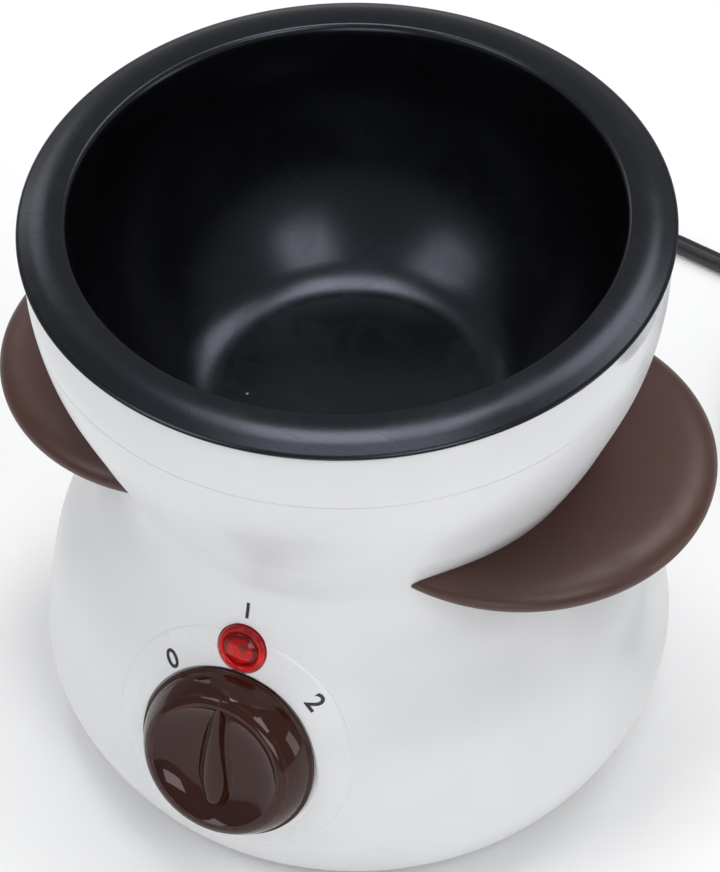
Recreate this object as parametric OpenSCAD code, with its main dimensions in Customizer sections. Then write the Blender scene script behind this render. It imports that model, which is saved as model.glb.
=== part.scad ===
/* [Body] */
// Height of the body up to the rim that the pot hangs over
body_h = 138.1; // [130:0.1:150]
// Height of the rubber feet
foot_h = 2.5; // [2:0.1:4]
// Radius of the body at its lower edge
base_r = 60; // [56:0.5:62]
// Largest radius of the body, low down
bulge_r = 69.8; // [66:0.2:74]
// Height of the largest radius
bulge_z = 20; // [17:0.5:23]
// Radius of the shoulder above the dial
shoulder_r = 65.2; // [62:0.2:66]
// Height of the shoulder
shoulder_z = 47; // [45:0.5:49]
// Smallest radius of the body, at the waist
waist_r = 50.8; // [50:0.2:53]
// Height of the waist
waist_z = 80; // [78:0.5:82]
// Depth of the cup's widest line below the body's rim
cup_drop = 11.1; // [9:0.1:13]
// Height of the collar above its joint with the body
collar_h = 13.3; // [11:0.1:16]
// Wall thickness of the mouldings
wall = 2.4; // [2:0.1:3]

/* [Pot] */
// Inner radius of the bowl at its mouth
bowl_r = 55.5; // [53:0.1:58]
// Width of the rim from the bowl to its edge
rim_w = 10.5; // [9:0.1:12]
// How far the rim overhangs the cup
rim_over = 0.9; // [0.5:0.1:1.5]
// Height of the bowl's inner floor above the waist
floor_rise = 7.3; // [6:0.1:9]
// Radius of the flat floor
floor_r = 36.6; // [34:0.1:38]
// Wall thickness of the bowl
pot_wall = 1.6; // [1.2:0.1:2]
// Thickness of the bowl's floor
pot_floor = 2.5; // [2:0.1:2.6]
// Height of the rim's crest above the body
rim_h = 3.9; // [3.4:0.1:5]
// Depth of the turned-down edge of the rim
rim_edge = 2.3; // [1.8:0.1:2.8]

/* [Handles] */
// Reach of a handle beyond the body's wall
handle_out = 27.6; // [24:0.2:32]
// Radius of a handle's outline
handle_round = 41.4; // [39:0.2:44]
// Height of a handle's widest line above the waist
handle_rise = 5; // [4:0.5:6]
// Thickness of a handle
handle_t = 6.2; // [5:0.1:7]

/* [Dial] */
// Height of the dial's axis where it meets the body
dial_z = 42.6; // [41:0.2:44]
// Tilt of the dial's axis above the horizontal
dial_tilt = 20; // [18:1:22]
// Radius of the round dial panel
panel_r = 26.7; // [26:0.1:28]
// Height of the panel's middle above the dial's axis
panel_up = 2.2; // [1.5:0.1:2.6]
// Radius of the knob's base flange
knob_r = 19.4; // [18:0.1:19.5]
// Radius of the knob's face
knob_face_r = 15.2; // [14:0.1:16]
// Height of the knob
knob_h = 8.4; // [7:0.1:10]
// Radius of the indicator lens
lens_r = 5.3; // [5:0.1:5.4]
// Height of the lens above the dial's axis
lens_up = 25.4; // [25:0.1:25.6]
// Radius of the switch's spindle
shaft_r = 3; // [2.5:0.1:3.2]
// Radial play of the spindle in its bushing
shaft_play = 0.05; // [0.02:0.01:0.08]

/* [Heater] */
// Room between the heating plate and the body's wall
plate_room = 8.4; // [7.8:0.1:10]
// Thickness of the heating plate
plate_t = 5.8; // [5:0.1:6.2]
// How far the element's ring lies in from the plate's edge
element_in = 12; // [11:0.2:13]
// Half width of the heating element
element_w = 3.3; // [3:0.1:3.6]

/* [Base] */
// Thickness of the base cover
cover_t = 3; // [2.5:0.1:3.5]
// Radius of a rubber foot
foot_r = 6; // [5:0.2:7]
// How far the feet stand in from the body's lower edge
foot_in = 16; // [15:0.5:18]
// How far the base screws stand in from the body's lower edge
boss_in = 8; // [7:0.2:9]

/* [Cord] */
// Diameter of the cord
cord_d = 4.6; // [4.2:0.1:5]
// Height of the cord's way out of the body
cord_z = 14; // [14:0.1:14.2]
// Length of the plug's pins
pin_l = 19; // [17:0.2:20]
// Radius of a plug pin
pin_r = 2; // [1.9:0.05:2.1]

/* [Hidden] */
$fn = 96;
over = 1;

// A smooth line through stations, each span in equal steps, with the slope taken from its neighbours
function slope(s, i) =
  i == 0 ? s[1] - s[0] : i == len(s) - 1 ? s[i] - s[i - 1] : (s[i + 1] - s[i - 1]) / 2;
function on_span(s, i, t) =
  (2 * t ^ 3 - 3 * t ^ 2 + 1) * s[i] + (t ^ 3 - 2 * t ^ 2 + t) * slope(s, i)
  + (3 * t ^ 2 - 2 * t ^ 3) * s[i + 1] + (t ^ 3 - t ^ 2) * slope(s, i + 1);
function smooth(s, steps) =
  [for (i = [0:len(s) - 2]) for (k = [0:steps - 1]) on_span(s, i, k / steps), s[len(s) - 1]];

// Points of an arc from one angle to another
function arc(middle, r, a, b, steps = 6) =
  [for (k = [0:steps]) middle + r * [cos(a + (b - a) * k / steps), sin(a + (b - a) * k / steps)]];

// Sizes and heights that follow from the ones above
rim_r = bowl_r + rim_w;
cup_r = rim_r - rim_over;
cup_z = body_h - cup_drop;
seam_z = body_h - collar_h;
bowl_floor_z = waist_z + floor_rise;
handle_z = waist_z + handle_rise;
plate_r = waist_r - wall - plate_room;
element_r = plate_r - element_in;
foot_ring = base_r - foot_in;
boss_ring = base_r - boss_in;
reach_r = max(base_r, bulge_r, shoulder_r, cup_r);

// The body's outline from the lower edge to the rim, as radius and height
low_share = 0.25;
low_r_share = 0.51;
flank_share = 0.4;
flank_r_share = 0.24;
neck_share = 0.5;
neck_r_share = 0.4;
cup_low_share = 0.36;
cup_low_r_share = 0.43;
cup_high_share = 0.71;
cup_high_r_share = 0.84;
mouth_in = 0.5;
body_line = smooth([
  [base_r, foot_h],
  [base_r + (bulge_r - base_r) * low_r_share, foot_h + (bulge_z - foot_h) * low_share],
  [bulge_r, bulge_z],
  [bulge_r - (bulge_r - shoulder_r) * flank_r_share, bulge_z + (shoulder_z - bulge_z) * flank_share],
  [shoulder_r, shoulder_z],
  [waist_r + (shoulder_r - waist_r) * neck_r_share, shoulder_z + (waist_z - shoulder_z) * neck_share],
  [waist_r, waist_z],
  [waist_r + (cup_r - waist_r) * cup_low_r_share, waist_z + (cup_z - waist_z) * cup_low_share],
  [waist_r + (cup_r - waist_r) * cup_high_r_share, waist_z + (cup_z - waist_z) * cup_high_share],
  [cup_r, cup_z],
  [cup_r - mouth_in, body_h],
], 4);

// The solid inside the body's outline, drawn in by an inset and run on past both ends
module body_solid(inset, run = 0) {
  line = [for (p = body_line) [p[0] - inset, p[1]]];
  rotate_extrude()
    polygon(concat([[0, foot_h - run], [line[0][0], foot_h - run]], line,
      [[line[len(line) - 1][0], body_h + run], [0, body_h + run]]));
}

// A slab of the whole width between two heights
module level(from, to) {
  translate([0, 0, from]) cylinder(r = reach_r + over, h = to - from);
}

// Where the dial's axis meets the body, found on the outline
function radius_at(z, i = 0) = body_line[i + 1][1] >= z || i == len(body_line) - 2
  ? body_line[i][0] + (body_line[i + 1][0] - body_line[i][0]) * (z - body_line[i][1])
    / (body_line[i + 1][1] - body_line[i][1])
  : radius_at(z, i + 1);
dial_y = radius_at(dial_z);
module at_dial() {
  translate([0, -dial_y, dial_z]) rotate([90 - dial_tilt, 0, 0]) children();
}

// How far the outline stands out along the dial's axis, at a height above that axis
function face_up(p) = (p[1] - dial_z) * cos(dial_tilt) + (dial_y - p[0]) * sin(dial_tilt);
function face_out(p) = (p[1] - dial_z) * sin(dial_tilt) - (dial_y - p[0]) * cos(dial_tilt);
function out_at(up, i = 0) = face_up(body_line[i + 1]) >= up || i == len(body_line) - 2
  ? face_out(body_line[i]) + (face_out(body_line[i + 1]) - face_out(body_line[i]))
    * (up - face_up(body_line[i])) / (face_up(body_line[i + 1]) - face_up(body_line[i]))
  : out_at(up, i + 1);

// Sizes round the dial, measured along its axis from the body's surface
pocket_depth = 3;
pocket_play = 0.8;
pocket_r = knob_r + pocket_play;
boss_t = 3;
boss_back = -pocket_depth - boss_t;
hub_hole_r = 6.6;
lens_sink = 1.17;
lens_seat = out_at(lens_up) - lens_sink;
lens_seat_play = 0.3;
lens_skirt_r = 4.4;
lens_boss_r = 7.6;
lens_boss_t = 3.4;
lens_boss_back = lens_seat - lens_boss_t;
panel_proud = 0.3;
panel_sink = 1;
panel_chamfer_share = 0.99;
switch_w = 25;
switch_head_r = 2.2;
switch_head_gap = 0.3;
switch_screw_x = switch_w / 2 + switch_head_r + switch_head_gap;
switch_screw_r = 1.2;
switch_screw_bite = 2.2;

// Sizes of the seat for the heater inside the waist
plate_top = bowl_floor_z - pot_floor;
plate_low = plate_top - plate_t;
shield_t = 1;
ledge_top = plate_low - shield_t;
ledge_t = 3;
ledge_play = 4;
ledge_in_r = plate_r + ledge_play;

// Sizes of the handle's fixing through the wall
handle_boss_y = 9;
handle_boss_r = 3.2;
handle_pad_t = 3;
handle_pad_w = 28;
handle_pad_h = 8;
handle_pad_in = radius_at(handle_z) - wall - handle_pad_t;
handle_boss_in = 1;
handle_boss_play = 0.1;
handle_screw_r = 1.5;
handle_screw_l = 12;
handle_head_r = 3;
handle_head_t = 1.8;

// Sizes of the base bosses and their webs
boss_r = 4.2;
boss_h = 16;
web_t = 3;
boss_angles = [0, 120, 240];
base_screw_r = 1.6;
base_screw_l = 12;
base_head_r = 3;
base_head_t = 1.6;
cover_z = foot_h + cover_t;
cover_gap = 0.3;

// Sizes of the cord's way out
relief_r = 6;
relief_play = 0.1;
relief_flange_r = 8.2;
lead_stop = 8.1;
inner_lead_end = radius_at(cord_z) - lead_stop;

module handle_pad(side) {
  translate([side * (handle_pad_in + handle_pad_t), 0, handle_z])
    cube([2 * handle_pad_t, handle_pad_w, handle_pad_h], center = true);
}

module body_shell() {
  color("whitesmoke") difference() {
    union() {
      intersection() {
        difference() {
          body_solid(0);
          body_solid(wall, over);
          intersection() {
            at_dial() translate([0, panel_up, -panel_r]) cylinder(r = panel_r, h = 2 * panel_r);
            difference() {
              body_solid(-over);
              body_solid(panel_sink, over);
            }
          }
        }
        level(foot_h, seam_z);
      }
      at_dial() translate([0, 0, boss_back]) cylinder(r = pocket_r, h = boss_t);
      intersection() {
        body_solid(wall / 2);
        union() {
          at_dial() translate([0, lens_up, lens_boss_back])
            cylinder(r = lens_boss_r, h = lens_boss_t + lens_r);
          translate([0, 0, ledge_top - ledge_t]) difference() {
            cylinder(r = reach_r, h = ledge_t);
            translate([0, 0, -over]) cylinder(r = ledge_in_r, h = ledge_t + 2 * over);
          }
          for (side = [-1, 1]) handle_pad(side);
          for (a = boss_angles) rotate(a) {
            translate([boss_ring, 0, cover_z]) cylinder(r = boss_r, h = boss_h);
            translate([boss_ring, -web_t / 2, cover_z]) cube([reach_r - boss_ring, web_t, boss_h]);
          }
        }
      }
    }
    at_dial() {
      translate([0, 0, -pocket_depth]) cylinder(r = pocket_r, h = pocket_depth + knob_h);
      translate([0, 0, boss_back - over]) cylinder(r = hub_hole_r, h = boss_t + 2 * over);
      translate([0, lens_up, lens_seat]) cylinder(r = lens_r + lens_seat_play, h = lens_r);
      translate([0, lens_up, lens_boss_back - over]) cylinder(r = lens_skirt_r, h = lens_r);
      translate([0, lens_up, lens_boss_back - lens_skirt_l])
        cylinder(r = clip_r + lens_seat_play, h = lens_skirt_l);
      for (side = [-1, 1]) translate([side * switch_screw_x, 0, boss_back - over])
        cylinder(r = switch_screw_r, h = switch_screw_bite + over);
    }
    for (side = [-1, 1]) for (y = [-handle_boss_y, handle_boss_y]) {
      translate([side * (handle_pad_in - over), y, handle_z]) rotate([0, side * 90, 0])
        cylinder(r = handle_screw_r, h = handle_screw_l);
      translate([side * (handle_pad_in + handle_boss_in), y, handle_z]) rotate([0, side * 90, 0])
        cylinder(r = handle_boss_r, h = handle_screw_l);
    }
    for (a = boss_angles) rotate(a) translate([boss_ring, 0, cover_z - over])
      cylinder(r = base_screw_r, h = base_screw_l + over);
    translate([0, inner_lead_end, cord_z]) rotate([-90, 0, 0]) cylinder(r = relief_r, h = reach_r);
  }
}

// The collar closes the top, with a spigot in the body, an inner lip and a finger scoop each side
spigot_h = 3;
spigot_t = 1.6;
spigot_play = 0.1;
lip_h = 7;
lip_play = 2.1;
lip_r = bowl_r + pot_wall + lip_play;
scoop_r = 40;
scoop_depth = 4;
scoop_h = 5;
module top_collar() {
  color("white") difference() {
    union() {
      intersection() {
        difference() {
          body_solid(0);
          body_solid(wall, over);
        }
        level(seam_z, body_h);
      }
      intersection() {
        difference() {
          body_solid(wall + spigot_play);
          body_solid(wall + spigot_t, over);
        }
        level(seam_z - spigot_h, seam_z + spigot_t);
      }
      intersection() {
        difference() {
          body_solid(wall / 2);
          body_solid(wall + spigot_t, over);
        }
        level(seam_z, seam_z + spigot_t);
      }
      intersection() {
        body_solid(wall / 2);
        translate([0, 0, body_h - lip_h]) difference() {
          cylinder(r = reach_r, h = lip_h);
          translate([0, 0, -over]) cylinder(r = lip_r, h = lip_h + 2 * over);
        }
      }
    }
    for (side = [-1, 1])
      translate([side * (cup_r - mouth_in - scoop_depth + scoop_r), 0, body_h])
        rotate_extrude() polygon(concat([[0, over], [0, -scoop_h]],
          arc([scoop_r - scoop_h, 0], scoop_h, -90, 0), [[scoop_r, over]]));
  }
}

// The pot: a pressed bowl with a flat floor, a rounded mouth and a rim that falls outwards
bowl_top_drop = 6.1;
bowl_top_z = body_h - bowl_top_drop;
rim_gap = 0.3;
mouth_round = 2.2;
mouth_angle = 62;
crease_share = 0.03;
rim_t = 1.5;
edge_t = 0.7;
floor_round = 3;
floor_round_share = 0.25;
bowl_b = (bowl_top_z - bowl_floor_z) / sqrt(1 - (floor_r / bowl_r) ^ 2);
crest_z = body_h + rim_h;
under_z = body_h + rim_gap;
edge_z = under_z + rim_t;
function bowl_line(r, b, low, steps = 12) = let (t = asin((bowl_top_z - low) / b))
  [for (k = [0:steps]) [r * cos(t * (1 - k / steps)), bowl_top_z - b * sin(t * (1 - k / steps))]];
module inner_pot() {
  inside = bowl_line(bowl_r, bowl_b, bowl_floor_z + floor_round * floor_round_share);
  outside = bowl_line(bowl_r + pot_wall, bowl_b + pot_wall, plate_top);
  mouth = arc([bowl_r + mouth_round, crest_z - mouth_round], mouth_round, 180, mouth_angle, 8);
  color("dimgray") rotate_extrude() polygon(concat(
    [[0, plate_top]], outside, [
      [bowl_r + pot_wall, under_z],
      [rim_r - edge_t, under_z],
      [rim_r - edge_t, edge_z - rim_edge],
      [rim_r, edge_z - rim_edge],
      [rim_r, edge_z]
    ], [
      [bowl_r + mouth_round * (1 + cos(mouth_angle)) + rim_w * crease_share,
        crest_z - mouth_round * (1 - sin(mouth_angle)) - (crest_z - edge_z) * crease_share]
    ],
    [for (k = [len(mouth) - 1:-1:0]) mouth[k]],
    [for (k = [len(inside) - 1:-1:0]) inside[k]],
    [[floor_r - floor_round, bowl_floor_z], [0, bowl_floor_z]]));
}

// A handle: a rounded disc cut by the body's own surface, with two bosses through the wall
handle_top_share = 0.55;
handle_roll_w = 7;
handle_under_w = 3.5;
handle_mid = radius_at(handle_z) + handle_out - handle_round;
module wing(side) {
  top = handle_t * handle_top_share;
  low = handle_t - top;
  roll = [for (k = [0:8]) [handle_round - handle_roll_w * (1 - cos(k * 90 / 8)), top * sin(k * 90 / 8)]];
  under = [for (k = [0:8]) [handle_round - handle_under_w * (1 - cos(k * 90 / 8)), -low * sin(k * 90 / 8)]];
  difference() {
    union() {
      difference() {
        translate([side * handle_mid, 0, handle_z]) rotate_extrude()
          polygon(concat([[0, -low]], [for (k = [0:8]) under[8 - k]],
            [for (k = [1:8]) roll[k]], [[0, top]]));
        body_solid(0, over);
      }
      for (y = [-handle_boss_y, handle_boss_y])
        translate([side * (handle_pad_in + handle_boss_in), y, handle_z]) rotate([0, side * 90, 0])
          cylinder(r = handle_boss_r - handle_boss_play, h = handle_screw_l);
    }
    for (y = [-handle_boss_y, handle_boss_y])
      translate([side * (handle_pad_in - over), y, handle_z]) rotate([0, side * 90, 0])
        cylinder(r = handle_screw_r, h = handle_screw_l + over);
  }
}
module handle_left() { color("saddlebrown") wing(-1); }
module handle_right() { color("saddlebrown") wing(1); }
module handle_screws() {
  color("silver") for (side = [-1, 1]) for (y = [-handle_boss_y, handle_boss_y])
    translate([side * handle_pad_in, y, handle_z]) rotate([0, side * 90, 0]) {
      cylinder(r = handle_screw_r, h = handle_screw_l);
      translate([0, 0, -handle_head_t]) cylinder(r = handle_head_r, h = handle_head_t);
    }
}

// The dial panel follows the body's curve and leaves room for the knob and the lens
module dial_panel() {
  color("snow") difference() {
    intersection() {
      difference() {
        body_solid(-panel_proud);
        body_solid(panel_sink, over);
      }
      at_dial() translate([0, panel_up, -panel_r]) cylinder(r = panel_r, h = 2 * panel_r);
    }
    at_dial() {
      translate([0, 0, -panel_r]) cylinder(r = pocket_r, h = 2 * panel_r);
      translate([0, lens_up, -panel_r]) cylinder(r = lens_r + lens_seat_play, h = 2 * panel_r);
    }
  }
}

// The knob: a flange, a tapered wall, a dished face with a raised grip, and a hub down to the switch
knob_lift = 0.6;
knob_flange_t = 1.5;
knob_step = 0.9;
knob_rim_w = 1.2;
knob_edge = 0.9;
knob_edge_angle = 20;
knob_dish = 2.4;
knob_shell = 1.7;
hub_r = 5.4;
hub_drop = 7;
grip_low_y = -10;
grip_high_y = 13.6;
grip_low_r = 1.9;
grip_high_r = 1.1;
grip_flare = 1.2;
grip_cap_share = 0.125;
knob_back = -pocket_depth + knob_lift;
knob_top = knob_back + knob_h;
knob_floor = knob_top - knob_dish;
hub_low = knob_back - hub_drop;
shaft_top = knob_floor - knob_shell;
module spindle(low, top) {
  difference() {
    translate([0, 0, low]) cylinder(r = shaft_r, h = top - low);
    translate([-shaft_r, shaft_r * shaft_flat_share, hub_low])
      cube([2 * shaft_r, shaft_r, top - hub_low + over]);
  }
}
shaft_flat_share = 0.5;
module knob() {
  wall_r = knob_r - knob_step;
  inner_r = knob_face_r - knob_shell;
  color("sienna") at_dial() difference() {
    union() {
      rotate_extrude() polygon(concat(
        [[0, hub_low], [hub_r, hub_low], [hub_r, knob_floor - knob_shell],
          [inner_r, knob_floor - knob_shell], [wall_r - knob_shell, knob_back], [knob_r, knob_back],
          [knob_r, knob_back + knob_flange_t], [wall_r, knob_back + knob_flange_t]],
        arc([knob_face_r - knob_edge, knob_top - knob_edge], knob_edge, knob_edge_angle, 90, 4),
        [[knob_face_r - knob_rim_w - knob_edge, knob_top],
          [knob_face_r - knob_rim_w - knob_edge - knob_dish / 2, knob_floor], [0, knob_floor]]));
      hull() for (z = [knob_floor - knob_shell / 2, knob_top]) {
        flare = z == knob_top ? 0 : grip_flare;
        cap = knob_shell * grip_cap_share;
        translate([0, grip_low_y, z]) cylinder(r = grip_low_r + flare, h = cap, $fn = 32);
        translate([0, grip_high_y, z]) cylinder(r = grip_high_r + flare, h = cap, $fn = 32);
      }
    }
    spindle(hub_low - over, shaft_top);
  }
}

// The switch behind the panel, on a plate with two screws, and the spindle that the knob turns
switch_plate_t = 1.2;
switch_plate_w = 12;
switch_plate_edge = 3.5;
switch_h = 20;
switch_l = 13;
switch_gap = 1.2;
bushing_r = 4.8;
bushing_h = 1.6;
switch_top = hub_low - switch_gap - bushing_h;
switch_low = switch_top - switch_l;
shaft_low_gap = 1.5;
strap_t = 1.2;
switch_screw_play = 0.1;
module knob_shaft() {
  color("silver") at_dial() spindle(switch_low + shaft_low_gap, shaft_top);
}
module rotary_switch() {
  plate_l = 2 * (switch_screw_x + switch_plate_edge);
  color("ivory") at_dial() difference() {
    union() {
      translate([-plate_l / 2, -switch_plate_w / 2, boss_back - switch_plate_t])
        cube([plate_l, switch_plate_w, switch_plate_t]);
      for (side = [-1, 1]) translate([side * (switch_w - strap_t) / 2 - strap_t / 2,
          -switch_plate_w / 2, switch_top])
        cube([strap_t, switch_plate_w, boss_back - switch_top]);
      translate([-switch_w / 2, -switch_h / 2, switch_low]) cube([switch_w, switch_h, switch_l]);
      translate([0, 0, switch_top]) cylinder(r = bushing_r, h = bushing_h);
    }
    translate([0, 0, switch_low + shaft_low_gap / 2])
      cylinder(r = shaft_r + shaft_play, h = switch_l + bushing_h);
    translate([0, 0, boss_back - switch_plate_t - over])
      cylinder(r = hub_hole_r, h = switch_plate_t + 2 * over);
    for (side = [-1, 1]) translate([side * switch_screw_x, 0, boss_back - switch_plate_t - over])
      cylinder(r = switch_screw_r + switch_screw_play, h = switch_plate_t + 2 * over);
  }
}
switch_head_t = 1.3;
module switch_screws() {
  low = boss_back - switch_plate_t;
  color("silver") at_dial() for (side = [-1, 1]) translate([side * switch_screw_x, 0, low]) {
    cylinder(r = switch_screw_r, h = switch_plate_t + switch_screw_bite);
    translate([0, 0, -switch_head_t]) cylinder(r = switch_head_r, h = switch_head_t);
  }
}

// The indicator: a domed lens with a skirt through the body, a clip behind and a lamp inside
lens_rise = 2;
lens_dome = 0.7;
lens_dome_share = 0.8;
lens_edge = 0.5;
lens_button_share = 0.7;
lens_groove = 0.5;
lens_skirt_t = 0.9;
lens_skirt_l = 8;
lens_window_t = 1;
module indicator_lens() {
  top = lens_seat + lens_rise;
  button = lens_r * lens_button_share;
  bore = lens_skirt_r - lens_skirt_t;
  color("red", 0.6) at_dial() translate([0, lens_up, 0]) rotate_extrude() polygon(concat(
    [[0, top + lens_dome], [button / 2, top + lens_dome * lens_dome_share], [button, top],
      [button + lens_groove / 2, top - lens_groove], [button + lens_groove, top]],
    arc([lens_r - lens_edge, top - lens_edge], lens_edge, 90, 0, 4),
    [[lens_r, lens_seat], [lens_skirt_r, lens_seat], [lens_skirt_r, lens_seat - lens_skirt_l],
      [bore, lens_seat - lens_skirt_l], [bore, top - lens_window_t], [0, top - lens_window_t]]));
}
clip_r = 6.6;
clip_t = 1.2;
module lens_clip() {
  color("silver") at_dial() translate([0, lens_up, lens_boss_back - clip_t]) difference() {
    cylinder(r = clip_r, h = clip_t);
    translate([0, 0, -over]) cylinder(r = lens_skirt_r, h = clip_t + 2 * over);
  }
}
lamp_base_l = 5;
lamp_r = 2.4;
lamp_l = 4.6;
module indicator_lamp() {
  low = lens_seat - lens_skirt_l - lens_window_t;
  color("orange") at_dial() translate([0, lens_up, low]) rotate_extrude() polygon(concat(
    [[0, 0], [lens_skirt_r - lens_skirt_t, 0], [lens_skirt_r - lens_skirt_t, lamp_base_l],
      [lamp_r, lamp_base_l]],
    arc([0, lamp_base_l + lamp_l - lamp_r], lamp_r, 0, 90)));
}

// The heater inside the waist, under the pot
plate_chamfer = 1;
module heater_plate() {
  color("silver") rotate_extrude() polygon([[0, plate_low], [plate_r, plate_low],
    [plate_r, plate_top - plate_chamfer], [plate_r - plate_chamfer, plate_top], [0, plate_top]]);
}
element_h = 6.4;
terminal_r = 1.2;
terminal_l = 10;
terminal_x = 6;
module element_ends(r, l) {
  for (side = [-1, 1])
    translate([side * terminal_x, sqrt(element_r ^ 2 - terminal_x ^ 2), plate_low - element_h - l])
      cylinder(r = r, h = l + element_h / 2);
}
module heating_element() {
  color("dimgray") union() {
    rotate_extrude() translate([element_r, 0]) polygon(concat(
      [[element_w, plate_low], [-element_w, plate_low]],
      arc([0, plate_low - element_h + element_w], element_w, 180, 360, 8)));
    element_ends(terminal_r, terminal_l);
  }
}
shield_h = 9;
shield_play = 3;
shield_in_r = 14;
shield_lip = 0.8;
shield_hole_r = 2.6;
module heat_shield() {
  wall_r = plate_r - shield_play;
  out_r = radius_at(ledge_top) - wall - shield_lip;
  color("lightgray") difference() {
    rotate_extrude() polygon([[out_r, plate_low], [out_r, ledge_top], [wall_r, ledge_top],
      [wall_r, ledge_top - shield_h], [shield_in_r, ledge_top - shield_h],
      [shield_in_r, ledge_top - shield_h + shield_t], [wall_r - shield_t, ledge_top - shield_h + shield_t],
      [wall_r - shield_t, plate_low]]);
    element_ends(shield_hole_r, terminal_l);
  }
}
thermostat_r = 8;
thermostat_h = 7;
thermostat_cap_h = 3;
thermostat_pin_x = 4.5;
thermostat_pin_r = 0.8;
thermostat_pin_l = 6;
module thermostat() {
  color("black") translate([0, 0, plate_low - thermostat_h]) union() {
    cylinder(r = thermostat_r, h = thermostat_cap_h);
    cylinder(r = thermostat_r - shield_lip, h = thermostat_h);
    for (side = [-1, 1]) translate([side * thermostat_pin_x, 0, -thermostat_pin_l])
      cylinder(r = thermostat_pin_r, h = thermostat_pin_l + over);
  }
}
fuse_r = 2;
fuse_l = 12;
fuse_y = 17;
fuse_lead_r = 0.6;
fuse_lead_l = 3;
module thermal_fuse() {
  color("khaki") translate([0, -fuse_y, plate_low - fuse_r]) rotate([0, 90, 0]) union() {
    cylinder(r = fuse_r, h = fuse_l, center = true);
    cylinder(r = fuse_lead_r, h = fuse_l + 2 * fuse_lead_l, center = true);
  }
}

// The base cover with its vents, screws and feet
vent_count = 12;
vent_in_r = 22;
vent_l = 12;
vent_w = 3;
module base_cover() {
  color("gainsboro") difference() {
    translate([0, 0, foot_h]) cylinder(r = base_r - wall - cover_gap, h = cover_t);
    for (a = boss_angles) rotate(a) translate([boss_ring, 0, foot_h - over]) {
      cylinder(r = base_screw_r, h = cover_t + 2 * over);
      cylinder(r = base_head_r, h = base_head_t + over);
    }
    for (k = [0:vent_count - 1]) rotate(k * 360 / vent_count) {
      translate([vent_in_r, -vent_w / 2, foot_h - over]) cube([vent_l, vent_w, cover_t + 2 * over]);
      for (x = [0, vent_l]) translate([vent_in_r + x, 0, foot_h - over])
        cylinder(r = vent_w / 2, h = cover_t + 2 * over, $fn = 24);
    }
  }
}
module base_screws() {
  color("silver") for (a = boss_angles) rotate(a) translate([boss_ring, 0, foot_h]) {
    cylinder(r = base_head_r, h = base_head_t);
    cylinder(r = base_screw_r, h = cover_t + base_screw_l);
  }
}
foot_edge = 0.6;
module rubber_feet() {
  color("black") for (a = [45:90:315]) rotate(a) translate([foot_ring, 0, 0])
    rotate_extrude() polygon([[0, 0], [foot_r - foot_edge, 0], [foot_r, foot_edge], [foot_r, foot_h],
      [0, foot_h]]);
}

// The mains end inside: terminal block, clamp and the lead between them
block_w = 22;
block_d = 12;
block_h = 14;
block_in = 30;
block_y = inner_lead_end - block_in;
block_screw_share = 0.25;
block_screw_r = 2;
block_screw_h = 0.8;
module terminal_block() {
  color("white") union() {
    translate([-block_w / 2, block_y - block_d / 2, cover_z]) cube([block_w, block_d, block_h]);
    for (side = [-1, 1]) translate([side * block_w * block_screw_share, block_y, cover_z + block_h])
      cylinder(r = block_screw_r, h = block_screw_h);
  }
}
clamp_w = 13;
clamp_d = 8;
clamp_in = 13;
clamp_y = inner_lead_end - clamp_in;
clamp_over = 3;
module inner_cord(r) {
  translate([0, block_y + block_d / 2, cord_z]) rotate([-90, 0, 0])
    cylinder(r = r, h = inner_lead_end - block_y - block_d / 2, $fn = 48);
}
module inner_lead() { color("black") inner_cord(cord_d / 2); }
module cord_clamp() {
  color("gray") difference() {
    translate([-clamp_w / 2, clamp_y - clamp_d / 2, cover_z])
      cube([clamp_w, clamp_d, cord_z - cover_z + cord_d / 2 + clamp_over]);
    inner_cord(cord_d / 2);
  }
}

// The bushing that leads the cord out at the back, tapered and ribbed to let it bend gently
relief_out = 100;
relief_flange_t = 2.2;
relief_tip_r = 3.1;
relief_foot_r = 5.4;
relief_ribs = 6;
rib_share = 0.45;
rib_cut = 0.8;
module strain_relief() {
  start = radius_at(cord_z) + relief_flange_t;
  run = relief_out - start;
  pitch = run / (relief_ribs + 1);
  ribs = [for (k = [0:relief_ribs - 1]) for (q = [0:3])
    let (y = start + pitch * (k + 1 - rib_share / 2 + rib_share * (q > 1 ? 1 : 0)))
    [relief_foot_r + (relief_tip_r - relief_foot_r) * (y - start) / run
      - (q == 1 || q == 2 ? rib_cut : 0), y]];
  color("black") union() {
    difference() {
      translate([0, 0, cord_z]) rotate([-90, 0, 0]) rotate_extrude() polygon(concat(
        [[0, inner_lead_end], [relief_flange_r, inner_lead_end], [relief_flange_r, start],
          [relief_foot_r, start]], ribs, [[relief_tip_r, relief_out], [0, relief_out]]));
      body_solid(0);
    }
    intersection() {
      translate([0, inner_lead_end, cord_z]) rotate([-90, 0, 0])
        cylinder(r = relief_flange_r, h = reach_r);
      body_solid(wall);
    }
    intersection() {
      translate([0, inner_lead_end, cord_z]) rotate([-90, 0, 0])
        cylinder(r = relief_r - relief_play, h = reach_r);
      body_solid(0);
    }
  }
}

// The free cord: points chosen by hand from the bushing to the coil
tie_t = 0.6;
coil_mid = [82, 115];
coil_r = 28;
coil_pitch = 5.1;
coil_start = 80;
coil_turns = 5.22;
coil_layers = 4;
coil_rings = 24;
climb_turns = 0.5;
lead_points = [
  [0, 100, 14], [0, 106, 13.8], [-0.8, 113, 12.2], [-2.6, 121, 8.6], [-5.2, 129, 4.8], [-7.4, 136, 2.7],
  [-6.6, 142.6, 2.3], [-3, 149, 2.3], [2.6, 153.6, 2.3], [9.6, 156, 2.3], [17, 155.8, 2.3],
  [26, 154.2, 2.3], [38, 151.9, 2.3], [49, 149.7, 2.3], [60.4, 147.5, 2.5], [72.4, 145.25, 2.9],
  [82.4, 143.4, 2.9]
];

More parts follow.
